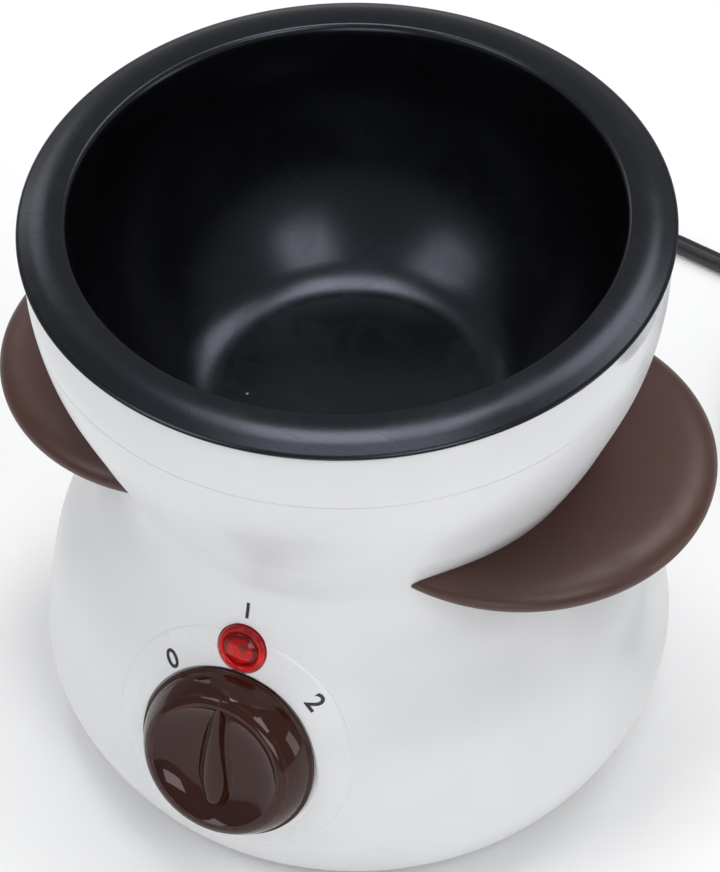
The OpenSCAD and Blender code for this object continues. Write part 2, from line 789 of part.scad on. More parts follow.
// A tube through points: a ring square to the path at each, carried along without twisting
function unit(v) = v / norm(v);
function heading(p, i) =
  unit(i == 0 ? p[1] - p[0] : i == len(p) - 1 ? p[i] - p[i - 1] : p[i + 1] - p[i - 1]);
function side_of(h) = unit(cross(h, [0, 0, 1]));
module tube(p, r, sides) {
  rings = [for (i = [0:len(p) - 1]) let (h = heading(p, i), s = side_of(h), u = cross(s, h))
    for (k = [0:sides - 1]) p[i] + r * (cos(360 * k / sides) * s + sin(360 * k / sides) * u)];
  last = (len(p) - 1) * sides;
  polyhedron(rings, concat(
    [[for (k = [0:sides - 1]) k]],
    [for (i = [0:len(p) - 2]) for (k = [0:sides - 1]) let (a = i * sides, b = (k + 1) % sides)
      [a + k, a + sides + k, a + b]],
    [for (i = [0:len(p) - 2]) for (k = [0:sides - 1]) let (a = i * sides, b = (k + 1) % sides)
      [a + b, a + sides + k, a + sides + b]],
    [[for (k = [sides - 1:-1:0]) last + k]]));
}
module cord_lead() { color("black") tube(lead_points, cord_d / 2, 12); }

// The put-away length: one tube that spirals in and out and climbs a layer where it turns back
layer_turns = coil_turns / coil_layers;
function fold(t) = let (n = floor(t / layer_turns), q = t / layer_turns - n) n % 2 == 0 ? q : 1 - q;
function ease(q) = q * q * (3 - 2 * q);
function climb(t) = let (n = round(t / layer_turns), q = (t - n * layer_turns) / climb_turns + 0.5)
  n < 1 ? 0 : n > coil_layers - 1 ? coil_layers - 1 : n - 1 + ease(min(1, max(0, q)));
function coil_at(t) = let (r = coil_r - coil_pitch * layer_turns * fold(t), a = coil_start - 360 * t)
  [coil_mid[0] + r * cos(a), coil_mid[1] + r * sin(a), cord_d / 2 + tie_t + coil_pitch * climb(t)];
tail_points = [
  [110, 108, 18], [110, 101, 16.6], [110, 94, 13.4], [110, 88, 10.2], [110, 82, 8], [110, 75, 7],
  [110, 70, 6.9]
];
coil_points = concat([lead_points[len(lead_points) - 1]],
  [for (k = [0:coil_turns * coil_rings]) coil_at(k / coil_rings)], [coil_at(coil_turns)], tail_points);
module cord_coil() { color("black") tube(coil_points, cord_d / 2, 6); }

// The least gap between loops and the cord's length, measured on the points and printed
function run_of(p, i = 1) = i == len(p) ? 0 : norm(p[i] - p[i - 1]) + run_of(p, i + 1);
loop_gaps = [for (i = [0:len(coil_points) - 1]) for (j = [i + coil_rings / 2:len(coil_points) - 1])
  norm(coil_points[i] - coil_points[j]) - cord_d];
echo(least_gap = min(loop_gaps), cord_length = run_of(lead_points) + run_of(coil_points));

// A strap of round-cornered section that holds the loops together
module rounded(w, h, r) {
  square([w - 2 * r, h], center = true);
  square([w, h - 2 * r], center = true);
  for (x = [-1, 1]) for (y = [-1, 1]) translate([x * (w / 2 - r), y * (h / 2 - r)]) circle(r = r);
}
tie_angle = -90;
tie_w = 4;
tie_play = 0.1;
tie_low_r = 19.9;
tie_high_r = 29.6;
tie_round_share = 0.35;
module cord_tie() {
  w = tie_high_r - tie_low_r + 2 * tie_play;
  h = cord_d + coil_pitch * (coil_layers - 1) + 2 * tie_play;
  r = cord_d * tie_round_share;
  color("black") translate([coil_mid[0], coil_mid[1], 0]) rotate(tie_angle)
    translate([(tie_low_r + tie_high_r) / 2, tie_w / 2, h / 2 + tie_t]) rotate([90, 0, 0])
      linear_extrude(height = tie_w) difference() {
        rounded(w + 2 * tie_t, h + 2 * tie_t, r + tie_t);
        rounded(w, h, r);
      }
}

// A flat two-pin plug that lies on the table
plug_at = tail_points[len(tail_points) - 1];
plug_face_w = 35.3;
plug_t = 13.8;
plug_l = 34;
plug_neck_l = 10;
plug_neck_r = 4.4;
plug_tip_r = 3.3;
plug_waist_w = 24;
plug_back_w = 15;
plug_front_share = 0.22;
plug_waist_share = 0.55;
plug_round = 4.5;
pin_gap = 19;
module at_plug() {
  translate(plug_at) rotate([90, 0, 0]) children();
}
module plug_body() {
  half = smooth([
    [plug_back_w / 2, plug_neck_l],
    [plug_waist_w / 2, plug_neck_l + plug_l * (1 - plug_waist_share)],
    [plug_face_w / 2, plug_neck_l + plug_l * (1 - plug_front_share)],
    [plug_face_w / 2, plug_neck_l + plug_l],
  ], 4);
  color("black") at_plug() union() {
    cylinder(r1 = plug_tip_r, r2 = plug_neck_r, h = plug_neck_l);
    intersection() {
      linear_extrude(height = plug_neck_l + plug_l) rounded(plug_face_w, plug_t, plug_round);
      rotate([-90, 0, 0]) mirror([0, 1, 0]) translate([0, 0, -plug_t]) linear_extrude(height = 2 * plug_t)
        polygon(concat(half, [for (k = [len(half) - 1:-1:0]) [-half[k][0], half[k][1]]]));
    }
  }
}
pin_tip = 0.8;
module plug_pins() {
  color("silver") at_plug() for (side = [-1, 1]) translate([side * pin_gap / 2, 0, plug_neck_l + plug_l])
    rotate_extrude() polygon([[0, 0], [pin_r, 0], [pin_r, pin_l - pin_tip], [pin_r - pin_tip, pin_l],
      [0, pin_l]]);
}

inner_pot();
body_shell();
top_collar();
handle_left();
handle_right();
handle_screws();
dial_panel();
knob();
knob_shaft();
rotary_switch();
switch_screws();
indicator_lens();
indicator_lamp();
lens_clip();
heater_plate();
heating_element();
heat_shield();
thermostat();
thermal_fuse();
base_cover();
base_screws();
rubber_feet();
terminal_block();
cord_clamp();
inner_lead();
strain_relief();
cord_lead();
cord_coil();
cord_tie();
plug_body();
plug_pins();
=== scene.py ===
# Electric fondue pot: finer pieces and finishes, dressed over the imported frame
import math
import bpy
import bmesh
import numpy as np
from mathutils import Matrix, Vector


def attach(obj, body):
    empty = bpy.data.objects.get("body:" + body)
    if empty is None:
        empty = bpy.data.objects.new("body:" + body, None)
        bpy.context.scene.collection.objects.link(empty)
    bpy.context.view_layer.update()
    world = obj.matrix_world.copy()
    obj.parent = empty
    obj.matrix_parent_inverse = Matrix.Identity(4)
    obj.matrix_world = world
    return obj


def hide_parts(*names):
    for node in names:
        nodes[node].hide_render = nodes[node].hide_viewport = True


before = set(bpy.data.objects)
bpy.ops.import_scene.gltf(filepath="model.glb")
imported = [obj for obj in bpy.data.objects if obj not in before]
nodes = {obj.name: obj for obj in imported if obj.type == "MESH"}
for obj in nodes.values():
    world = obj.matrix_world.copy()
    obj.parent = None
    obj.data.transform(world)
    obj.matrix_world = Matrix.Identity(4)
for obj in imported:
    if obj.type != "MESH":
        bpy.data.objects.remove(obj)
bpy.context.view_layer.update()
print("frame loaded:", len(nodes), "nodes")

mm = 0.001

# Camera
cameraLook = {"down": 47.212, "turn": 25.955, "aside": 0.115, "roll": -1.776,
              "distance": 691.25, "aim": 74.9, "lens": 133.24, "sensor": 36, "clip": (0.01, 20)}


def makeCamera(look):
    # stands off the pot's axis at a downward angle, turned a little about the view and about the pot
    down, aside, roll, a = (math.radians(look[k]) for k in ("down", "aside", "roll", "turn"))
    away = look["distance"]
    place = np.array([0, -away * math.cos(down), look["aim"] + away * math.sin(down)])
    ahead = np.array([0, math.cos(down), -math.sin(down)])
    right = np.array([1.0, 0, 0])
    up = np.cross(right, ahead)
    aimed = ahead * math.cos(aside) + right * math.sin(aside)
    level = right * math.cos(aside) - ahead * math.sin(aside)
    across = level * math.cos(roll) + up * math.sin(roll)
    upwards = -level * math.sin(roll) + up * math.cos(roll)
    turn = np.array([[math.cos(a), -math.sin(a), 0], [math.sin(a), math.cos(a), 0], [0, 0, 1]])
    matrix = np.eye(4)
    matrix[:3, :3] = turn @ np.stack([across, upwards, -aimed], 1)
    matrix[:3, 3] = turn @ place * mm
    data = bpy.data.cameras.new("photoView")
    data.lens, data.sensor_width = look["lens"], look["sensor"]
    data.clip_start, data.clip_end = look["clip"]
    camera = bpy.data.objects.new("photoView", data)
    bpy.context.scene.collection.objects.link(camera)
    camera.matrix_world = Matrix(matrix)
    bpy.context.scene.camera = camera


makeCamera(cameraLook)


# Tools for surfaces
def joinShells(shells):
    # each shell is a grid of points (rows, columns, 3), closed or open each way; returns points and quads
    points, quads, start = [], [], 0
    for grid, wrapRows, wrapColumns in shells:
        rows, columns = grid.shape[:2]
        index = np.arange(rows * columns).reshape(rows, columns) + start
        a, b = index, np.roll(index, -1, axis=0)
        c, d = np.roll(b, -1, axis=1), np.roll(a, -1, axis=1)
        q = np.stack([a, b, c, d], -1)
        q = q if wrapRows else q[:-1]
        q = q if wrapColumns else q[:, :-1]
        points.append(grid.reshape(-1, 3))
        quads.append(q.reshape(-1, 4))
        start += rows * columns
    return np.concatenate(points), np.concatenate(quads)


def makePiece(name, shells, sharp=35, surfaceMap=None):
    # puts the grids into a mesh, merges poles, turns faces outwards and smooths what isn't an edge
    points, quads = joinShells(shells)
    mesh = bpy.data.meshes.new(name)
    mesh.vertices.add(len(points))
    mesh.vertices.foreach_set("co", (points * mm).astype(np.float32).ravel())
    mesh.loops.add(quads.size)
    mesh.loops.foreach_set("vertex_index", quads.astype(np.int32).ravel())
    mesh.polygons.add(len(quads))
    mesh.polygons.foreach_set("loop_start", np.arange(0, quads.size, 4, dtype=np.int32))
    if surfaceMap is not None:
        layer = mesh.uv_layers.new(name="along")
        layer.data.foreach_set("uv", surfaceMap[quads.ravel()].astype(np.float32).ravel())
    mesh.update(calc_edges=True)
    work = bmesh.new()
    work.from_mesh(mesh)
    bmesh.ops.remove_doubles(work, verts=work.verts, dist=2e-7)
    bmesh.ops.dissolve_degenerate(work, edges=work.edges, dist=1e-8)
    bmesh.ops.recalc_face_normals(work, faces=work.faces)
    work.to_mesh(mesh)
    work.free()
    piece = bpy.data.objects.new(name, mesh)
    bpy.context.scene.collection.objects.link(piece)
    smoothPiece(piece, sharp)
    return piece


def smoothPiece(piece, sharp=35):
    mesh = piece.data
    mesh.polygons.foreach_set("use_smooth", np.ones(len(mesh.polygons), bool))
    mesh.set_sharp_from_angle(angle=math.radians(sharp))
    mesh.update()


def cutAway(piece, cutters, sharp=35):
    # takes closed cutters out of a closed piece and throws the cutters away
    for cutter in cutters:
        cut = piece.modifiers.new("cut", "BOOLEAN")
        cut.operation, cut.solver, cut.object = "DIFFERENCE", "EXACT", cutter
    bpy.context.view_layer.update()
    shaped = piece.evaluated_get(bpy.context.evaluated_depsgraph_get())
    mesh = bpy.data.meshes.new_from_object(shaped)
    piece.modifiers.clear()
    old, piece.data = piece.data, mesh
    bpy.data.meshes.remove(old)
    mesh.name = piece.name
    for cutter in cutters:
        bpy.data.objects.remove(cutter)
    smoothPiece(piece, sharp)
    return piece


def rounded(corners, steps=6, closed=False):
    # a line through corners (x, y, round): each corner is a small parabola between points on its two edges
    c = np.array(corners, float)
    p, size = c[:, :2], c[:, 2]
    t = np.linspace(0, 1, steps + 1)[:, None]
    out = []
    for i in range(len(p)):
        if size[i] <= 0 or (not closed and i in (0, len(p) - 1)):
            out.append(p[i:i + 1])
            continue
        before, after = p[i - 1] - p[i], p[(i + 1) % len(p)] - p[i]
        a = p[i] + before / np.linalg.norm(before) * size[i]
        b = p[i] + after / np.linalg.norm(after) * size[i]
        out.append((1 - t) ** 2 * a + 2 * t * (1 - t) * p[i] + t ** 2 * b)
    return np.concatenate(out)


def spin(line, steps=192):
    # surface of revolution: radius and height of the line, carried round the upright axis
    a = np.linspace(0, 2 * math.pi, steps, endpoint=False)[:, None]
    r, z = line[None, :, 0], line[None, :, 1]
    return np.stack([r * np.cos(a), r * np.sin(a), z + 0 * a], -1)


def lyingSpin(line, steps, height):
    # the same surface laid along Y at a height
    g = spin(line, steps)
    return np.stack([g[..., 0], g[..., 2], height - g[..., 1]], -1)


def softPower(value, power):
    # a power that keeps the sign
    return np.sign(value) * np.abs(value) ** power


def hermite(t, a, b, slopeA, slopeB):
    # the cubic between two points with a given slope at each
    return ((2 * t**3 - 3 * t**2 + 1) * a + (t**3 - 2 * t**2 + t) * slopeA
            + (3 * t**2 - 2 * t**3) * b + (t**3 - t**2) * slopeB)


def smoothLine(stations, steps=16):
    # cubic through the stations, each slope half the difference of its neighbours
    s = np.array(stations, float)
    slope = np.gradient(s, axis=0)
    t = np.linspace(0, 1, steps, endpoint=False)[None, :, None]
    a, b, ma, mb = s[:-1, None], s[1:, None], slope[:-1, None], slope[1:, None]
    curve = hermite(t, a, b, ma, mb)
    return np.concatenate([curve.reshape(-1, s.shape[1]), s[-1:]])


# The body's outline and the dial's own frame
bodyLook = {"stations": [(60, 2.5), (65.0, 6.875), (69.8, 20), (68.7, 30.8), (65.2, 47), (56.56, 63.5),
                         (50.8, 80), (56.95, 96.92), (62.81, 113.37), (65.1, 127), (64.6, 138.1)],
            "apart": 0.3, "wall": 2.4, "foot": 2.5, "footEdge": 0.9, "footRound": 0.6, "seam": 124.8,
            "seamEdge": 0.22, "ledge": (44, 75, 78), "cordHole": (6.0, 55, 80, 14), "pad": (1.9, 13.2, 4),
            "padAt": (47.2, 85), "padPower": 0.22, "steps": 288}
bodyLine = smoothLine(bodyLook["stations"])


def bodyRadius(z):
    return np.interp(z, bodyLine[:, 1], bodyLine[:, 0])


def bodyPart(low, high, inset=0.0):
    # the stretch of the outline between two heights, with exact ends
    z, apart = bodyLine[:, 1], bodyLook["apart"]
    keep = bodyLine[(z > low + apart) & (z < high - apart)]
    line = np.concatenate([[[bodyRadius(low), low]], keep, [[bodyRadius(high), high]]])
    return line - [inset, 0]


dialLook = {"height": 42.6, "front": -66.5358, "tilt": 20.0, "pocket": (20.05, 3.0), "pocketFloor": (6.6, 3),
            "pocketRounds": (0.2, 0.05, 0.3), "lensUp": 25.4, "lensSeat": (5.6, -3.6), "lensBore": (4.4, -9),
            "clear": (12, 8), "panel": (26.7, 2.2), "proud": 0.12, "panelEdge": 0.2, "panelGrow": 0.03,
            "panelSink": 1.0, "panelPlay": 0.05, "seatReach": 3.0, "seatPlay": 0.01, "seatTop": 2.0}
dialTilt = math.radians(dialLook["tilt"])
dialCentre = np.array([0, dialLook["front"], dialLook["height"]])
dialRight = np.array([1.0, 0, 0])
dialUp = np.array([0, math.sin(dialTilt), math.cos(dialTilt)])
dialOut = np.array([0, -math.cos(dialTilt), math.sin(dialTilt)])


def onDial(grid):
    # points given as right, up and out of the dial, put into the pot's frame
    return dialCentre + grid[..., 0:1] * dialRight + grid[..., 1:2] * dialUp + grid[..., 2:3] * dialOut


def bodyMiss(x, y, depth):
    # how far outside the body's surface a point of the dial lies
    p = onDial(np.stack([x, y, depth], -1))
    return np.hypot(p[..., 0], p[..., 1]) - bodyRadius(p[..., 2])


def faceDepth(x, y, across=133.0, step=0.05):
    # where the body's surface lies along the dial's axis: a circle as a first guess, then Newton's steps
    depth = -(x**2) / across
    for _ in range(14):
        miss = bodyMiss(x, y, depth)
        depth = depth - miss / ((bodyMiss(x, y, depth + step) - miss) / step)
    return depth


def dialDisc(radius, low, high, up):
    # a closed plain cylinder along the dial's axis, used to cut
    line = np.array([(0, low), (radius, low), (radius, high), (0, high)], float)
    return onDial(spin(line, 128) + [0, up, 0])


def finish(piece, body, slot, look, *replaced):
    # gives a piece its finish and its body, and hides the nodes it stands for; the slot is not used
    piece.data.materials.clear()
    piece.data.materials.append(finishes[look])
    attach(piece, body)
    if replaced:
        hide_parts(*replaced)
    return piece


# Shared effects as node groups
nodeStep = {"across": 220, "down": 260, "rows": 3}


def addNode(tree, kind, **settings):
    # nodes stand in columns as they are made; an in_ key is an input's value, a to_ key a link to it
    count = len(tree.nodes)
    node = tree.nodes.new(kind)
    column, row = divmod(count, nodeStep["rows"])
    node.location = (nodeStep["across"] * column, -nodeStep["down"] * row)
    for key, value in settings.items():
        socket = key[3:].replace("_", " ")
        if key.startswith("in_"):
            node.inputs[socket].default_value = value
        elif key.startswith("to_"):
            tree.links.new(value, node.inputs[socket])
        else:
            setattr(node, key, value)
    return node


def nodeGroup(name, values, outputs):
    # a group that takes a vector and some numbers, and gives some numbers
    group = bpy.data.node_groups.new(name, "ShaderNodeTree")
    group.interface.new_socket("Vector", in_out="INPUT", socket_type="NodeSocketVector")
    for label, value in values.items():
        socket = group.interface.new_socket(label, in_out="INPUT", socket_type="NodeSocketFloat")
        socket.default_value = value
    for label in outputs:
        group.interface.new_socket(label, in_out="OUTPUT", socket_type="NodeSocketFloat")
    return group, addNode(group, "NodeGroupInput").outputs, addNode(group, "NodeGroupOutput").inputs


def setOrLink(tree, socket, value):
    # a number or a colour is set on the socket, and anything else is linked to it
    if isinstance(value, tuple):
        socket.default_value = (*value, 1)
    elif isinstance(value, (int, float)):
        socket.default_value = value
    else:
        tree.links.new(value, socket)


def mathNode(tree, operation, a, b):
    node = addNode(tree, "ShaderNodeMath", operation=operation)
    setOrLink(tree, node.inputs[0], a)
    setOrLink(tree, node.inputs[1], b)
    return node.outputs[0]


def ramp(tree, value, low, high, outLow=0.0, outHigh=1.0):
    # a soft step from one level to the other
    node = addNode(tree, "ShaderNodeMapRange", clamp=True, interpolation_type="SMOOTHSTEP", to_Value=value,
                   in_From_Min=low, in_From_Max=high, in_To_Min=outLow, in_To_Max=outHigh)
    return node.outputs["Result"]


def mixColour(tree, mask, a, b):
    node = addNode(tree, "ShaderNodeMix", data_type="RGBA")
    for k, value in ((0, mask), (6, a), (7, b)):
        setOrLink(tree, node.inputs[k], value)
    return node.outputs[2]


def noise(tree, vector, scale, detail, **settings):
    node = addNode(tree, "ShaderNodeTexNoise", to_Vector=vector, in_Scale=scale, in_Detail=detail, **settings)
    return node.outputs["Fac"]


grainLook = {"fine": (3.0, 0.6), "drift": (28.0, 4.0, 0.55), "hands": (75.0, 6.0, 0.62), "bend": 0.4,
             "toneRamp": (0.3, 0.7), "smudgeRamp": (0.42, 0.72)}


def makeMouldGrain(look):
    # grain of a moulding: fine noise and pits for the height, a slow drift of tone, and hand smudges
    group, start, end = nodeGroup("mouldGrain", {"Grain": 0.0004, "Depth": 0.00001},
                                  ["Height", "Tone", "Smudge"])
    per = mathNode(group, "DIVIDE", 1.0, start["Grain"])
    detail, rough = look["fine"]
    fine = addNode(group, "ShaderNodeTexNoise", to_Vector=start["Vector"], to_Scale=per, in_Detail=detail,
                   in_Roughness=rough)
    pits = addNode(group, "ShaderNodeTexVoronoi", feature="SMOOTH_F1", to_Vector=start["Vector"],
                   to_Scale=per)
    both = mathNode(group, "ADD", fine.outputs["Fac"], pits.outputs["Distance"])
    group.links.new(mathNode(group, "MULTIPLY", both, start["Depth"]), end["Height"])
    scale, detail, rough = look["drift"]
    drift = noise(group, start["Vector"], scale, detail, in_Roughness=rough)
    group.links.new(ramp(group, drift, *look["toneRamp"]), end["Tone"])
    scale, detail, rough = look["hands"]
    hands = noise(group, start["Vector"], scale, detail, in_Roughness=rough, in_Distortion=look["bend"])
    group.links.new(ramp(group, hands, *look["smudgeRamp"]), end["Smudge"])
    return group


def makeDust(dusty=0.55):
    # sparse specks: points closer to their cell's middle than the speck's size, in the dusty cells only
    group, start, end = nodeGroup("dustSpecks", {"Spacing": 0.009, "Share": 0.03}, ["Mask"])
    per = mathNode(group, "DIVIDE", 1.0, start["Spacing"])
    cells = addNode(group, "ShaderNodeTexVoronoi", feature="F1", to_Vector=start["Vector"], to_Scale=per)
    split = addNode(group, "ShaderNodeSeparateColor", to_Color=cells.outputs["Color"])
    size = mathNode(group, "MULTIPLY", split.outputs["Red"], start["Share"])
    near = mathNode(group, "LESS_THAN", cells.outputs["Distance"], size)
    some = mathNode(group, "GREATER_THAN", split.outputs["Green"], dusty)
    group.links.new(mathNode(group, "MULTIPLY", near, some), end["Mask"])
    return group


wearLook = {"samples": 4, "noise": (420.0, 5.0), "broken": (0.4, 0.65), "turn": (0.02, 0.22)}


def makeEdgeWear(look):
    # where the surface turns sharply: the bevelled normal leaves the true one, broken up by noise
    group, start, end = nodeGroup("edgeWear", {"Width": 0.0006}, ["Mask"])
    bevel = addNode(group, "ShaderNodeBevel", samples=look["samples"], to_Radius=start["Width"])
    shape = addNode(group, "ShaderNodeNewGeometry")
    dot = addNode(group, "ShaderNodeVectorMath", operation="DOT_PRODUCT")
    group.links.new(bevel.outputs["Normal"], dot.inputs[0])
    group.links.new(shape.outputs["Normal"], dot.inputs[1])
    turn = mathNode(group, "SUBTRACT", 1.0, dot.outputs["Value"])
    broken = ramp(group, noise(group, start["Vector"], *look["noise"]), *look["broken"])
    edge = ramp(group, turn, *look["turn"])
    group.links.new(mathNode(group, "MULTIPLY", edge, broken), end["Mask"])
    return group


scratchLook = {"sets": [((0.0, 0.2, 0.5), (40, 900, 60)), ((0.3, 0.2, 1.9), (55, 1100, 70))],
               "crest": (0.70, 0.76)}


def makeScratches(look):
    # hairlines: a stretched noise turned two ways, kept only at its narrow crests
    group, start, end = nodeGroup("fineScratches", {"Amount": 0.5}, ["Mask"])
    masks = []
    for turn, stretch in look["sets"]:
        place = addNode(group, "ShaderNodeMapping", in_Rotation=turn, in_Scale=stretch,
                        to_Vector=start["Vector"])
        masks.append(ramp(group, noise(group, place.outputs["Vector"], 1.0, 1.0), *look["crest"]))
    both = mathNode(group, "MAXIMUM", *masks)
    group.links.new(mathNode(group, "MULTIPLY", both, start["Amount"]), end["Mask"])
    return group


mouldGrain = makeMouldGrain(grainLook)
dustSpecks = makeDust()
edgeWear = makeEdgeWear(wearLook)
fineScratches = makeScratches(scratchLook)
print("shared effects ready")


# Materials
def setSockets(shader, values):
    for key, value in values.items():
        shader.inputs[key].default_value = value


def newMaterial(name):
    # a bare shader with its output, and the piece's own coordinates
    material = bpy.data.materials.new(name)
    material.use_nodes = True
    tree = material.node_tree
    tree.nodes.clear()
    out = addNode(tree, "ShaderNodeOutputMaterial")
    shader = addNode(tree, "ShaderNodeBsdfPrincipled")
    tree.links.new(shader.outputs[0], out.inputs["Surface"])
    return material, tree, shader, addNode(tree, "ShaderNodeTexCoord").outputs["Object"]


def useGroup(tree, group, vector, **values):
    node = addNode(tree, "ShaderNodeGroup", node_tree=group)
    tree.links.new(vector, node.inputs["Vector"])
    setSockets(node, values)
    return node.outputs


def partly(tree, mask, share):
    return mathNode(tree, "MULTIPLY", mask, share)


def dress(tree, shader, tone, rough, height, strength):
    # links the colour, the roughness, and a bump from a height in metres
    bump = addNode(tree, "ShaderNodeBump", in_Strength=strength, in_Distance=1.0, to_Height=height)
    for socket, value in (("Base Color", tone), ("Roughness", rough), ("Normal", bump.outputs["Normal"])):
        tree.links.new(value, shader.inputs[socket])


coatLook = {"grain": 0.0004, "depth": 0.00001, "bump": 0.5, "smudge": (-0.05, 0.05),
            "dust": (0.009, 0.02, 0.5), "dustColour": (0.55, 0.54, 0.52), "worn": 0, "edge": 0.0005,
            "scratches": 0, "scratchRough": 0.15, "sockets": {}}
whiteLook = {**coatLook, "grain": 0.00045, "depth": 0.000006, "smudge": (-0.04, 0.04),
             "dust": (0.009, 0.012, 0.35)}
metalLook = {**coatLook, "grain": 0.0003, "depth": 0.000006, "bump": 0.4, "smudge": (-0.06, 0.08),
             "dust": None, "worn": 0.4, "edge": 0.0004, "scratches": 0.6, "sockets": {"Metallic": 1.0}}


def dusted(tree, where, tone, look):
    # lays a few specks of dust over the tone
    spacing, share, strength = look["dust"]
    dust = useGroup(tree, dustSpecks, where, Spacing=spacing, Share=share)
    return mixColour(tree, partly(tree, dust["Mask"], strength), tone, look["dustColour"])


def coat(name, base, dark, light, rough, own):
    # the tone drifts, edges wear and dust lies on it; smudges and scratches change the roughness
    look = {**base, **own}
    material, tree, shader, where = newMaterial(name)
    grain = useGroup(tree, mouldGrain, where, Grain=look["grain"], Depth=look["depth"])
    tone = mixColour(tree, grain["Tone"], dark, light)
    if look["worn"]:
        wear = useGroup(tree, edgeWear, where, Width=look["edge"])
        mask = partly(tree, wear["Mask"], look["worn"])
        tone = mixColour(tree, mask, tone, look.get("wornColour", light))
    if look["dust"]:
        tone = dusted(tree, where, tone, look)
    rough = ramp(tree, grain["Smudge"], 0, 1, *(rough + v for v in look["smudge"]))
    if look["scratches"]:
        lines = useGroup(tree, fineScratches, where, Amount=look["scratches"])
        rough = mathNode(tree, "ADD", rough, partly(tree, lines["Mask"], look["scratchRough"]))
    dress(tree, shader, tone, rough, grain["Height"], look["bump"])
    setSockets(shader, look["sockets"])
    return material


# each finish: the look it starts from, dark and light tone, roughness, and what it has of its own
coatRows = {
    "bodyWhite": (whiteLook, (0.775, 0.78, 0.795), (0.81, 0.815, 0.825), 0.34,
                  {"sockets": {"IOR": 1.5, "Coat Weight": 0.10, "Coat Roughness": 0.2}}),
    "collarWhite": (whiteLook, (0.78, 0.785, 0.80), (0.815, 0.82, 0.83), 0.32,
                    {"depth": 0.000005,
                     "sockets": {"IOR": 1.5, "Coat Weight": 0.12, "Coat Roughness": 0.18}}),
    "panelWhite": (whiteLook, (0.79, 0.795, 0.81), (0.82, 0.825, 0.835), 0.30,
                   {"grain": 0.0004, "depth": 0.000004,
                    "sockets": {"IOR": 1.5, "Coat Weight": 0.15, "Coat Roughness": 0.15}}),
    "handleBrown": (coatLook, (0.050, 0.0165, 0.0095), (0.063, 0.0205, 0.0120), 0.45,
                    {"grain": 0.00036, "depth": 0.00003, "bump": 0.8, "dust": (0.009, 0.014, 0.4),
                     "worn": 0.3, "wornColour": (0.11, 0.045, 0.032),
                     "sockets": {"IOR": 1.58, "Specular Tint": (1.0, 0.93, 0.97, 1)}}),
    "knobBrown": (coatLook, (0.030, 0.0076, 0.0046), (0.038, 0.0100, 0.0060), 0.075,
                  {"smudge": (-0.035, 0.035), "grain": 0.0025, "bump": 0.12, "dust": (0.009, 0.012, 0.35),
                   "worn": 0.3, "wornColour": (0.11, 0.045, 0.028),
                   "sockets": {"IOR": 1.46, "Specular IOR Level": 0.42,
                               "Specular Tint": (1.0, 0.90, 0.95, 1)}}),
    "potCoating": (coatLook, (0.0011, 0.0012, 0.0014), (0.0018, 0.0019, 0.0023), 0.28,
                   {"smudge": (-0.03, 0.03), "grain": 0.00055, "depth": 0.000014, "bump": 0.35,
                    "dust": (0.0095, 0.035, 0.8), "dustColour": (0.30, 0.31, 0.33), "scratches": 0.35,
                    "scratchRough": 0.12, "sockets": {"IOR": 1.52, "Specular Tint": (0.77, 0.82, 1.0, 1)}}),
    "footRubber": (coatLook, (0.012, 0.012, 0.013), (0.02, 0.02, 0.021), 0.72,
                   {"grain": 0.0005, "depth": 0.00003, "dust": (0.009, 0.03, 0.5)}),
    "coverGrey": (coatLook, (0.55, 0.56, 0.57), (0.60, 0.605, 0.615), 0.5,
                  {"grain": 0.0006, "depth": 0.00003}),
    "reliefBlack": (coatLook, (0.010, 0.010, 0.012), (0.017, 0.017, 0.019), 0.45, {}),
    "tieBlack": (coatLook, (0.008, 0.008, 0.009), (0.015, 0.015, 0.016), 0.38, {"depth": 0.000008}),
    "plugBlack": (coatLook, (0.009, 0.009, 0.010), (0.016, 0.016, 0.018), 0.42,
                  {"grain": 0.00045, "depth": 0.00002, "worn": 0.35, "wornColour": (0.05, 0.05, 0.052)}),
    "switchIvory": (coatLook, (0.60, 0.56, 0.46), (0.68, 0.64, 0.54), 0.5, {"grain": 0.0005}),
    "thermostatBlack": (coatLook, (0.012, 0.011, 0.010), (0.022, 0.020, 0.018), 0.5, {}),
    "fuseSleeve": (coatLook, (0.42, 0.36, 0.22), (0.52, 0.46, 0.30), 0.6,
                   {"grain": 0.0006, "depth": 0.00003}),
    "clampGrey": (coatLook, (0.15, 0.15, 0.155), (0.20, 0.20, 0.205), 0.48, {"grain": 0.0005}),
    "screwSteel": (metalLook, (0.50, 0.50, 0.51), (0.66, 0.66, 0.67), 0.30, {}),
    "shaftSteel": (metalLook, (0.55, 0.55, 0.56), (0.70, 0.70, 0.71), 0.22, {}),
    "heaterAluminium": (metalLook, (0.55, 0.55, 0.56), (0.72, 0.72, 0.73), 0.38,
                        {"grain": 0.0007, "depth": 0.00003, "scratches": 0.9}),
    "elementSheath": (metalLook, (0.14, 0.13, 0.13), (0.26, 0.25, 0.24), 0.48, {}),
    "shieldSteel": (metalLook, (0.45, 0.45, 0.46), (0.60, 0.60, 0.61), 0.33, {"scratches": 0.8}),
    "pinNickel": (metalLook, (0.62, 0.60, 0.56), (0.74, 0.72, 0.68), 0.16, {})}
finishes = {name: coat(name, *row) for name, row in coatRows.items()}

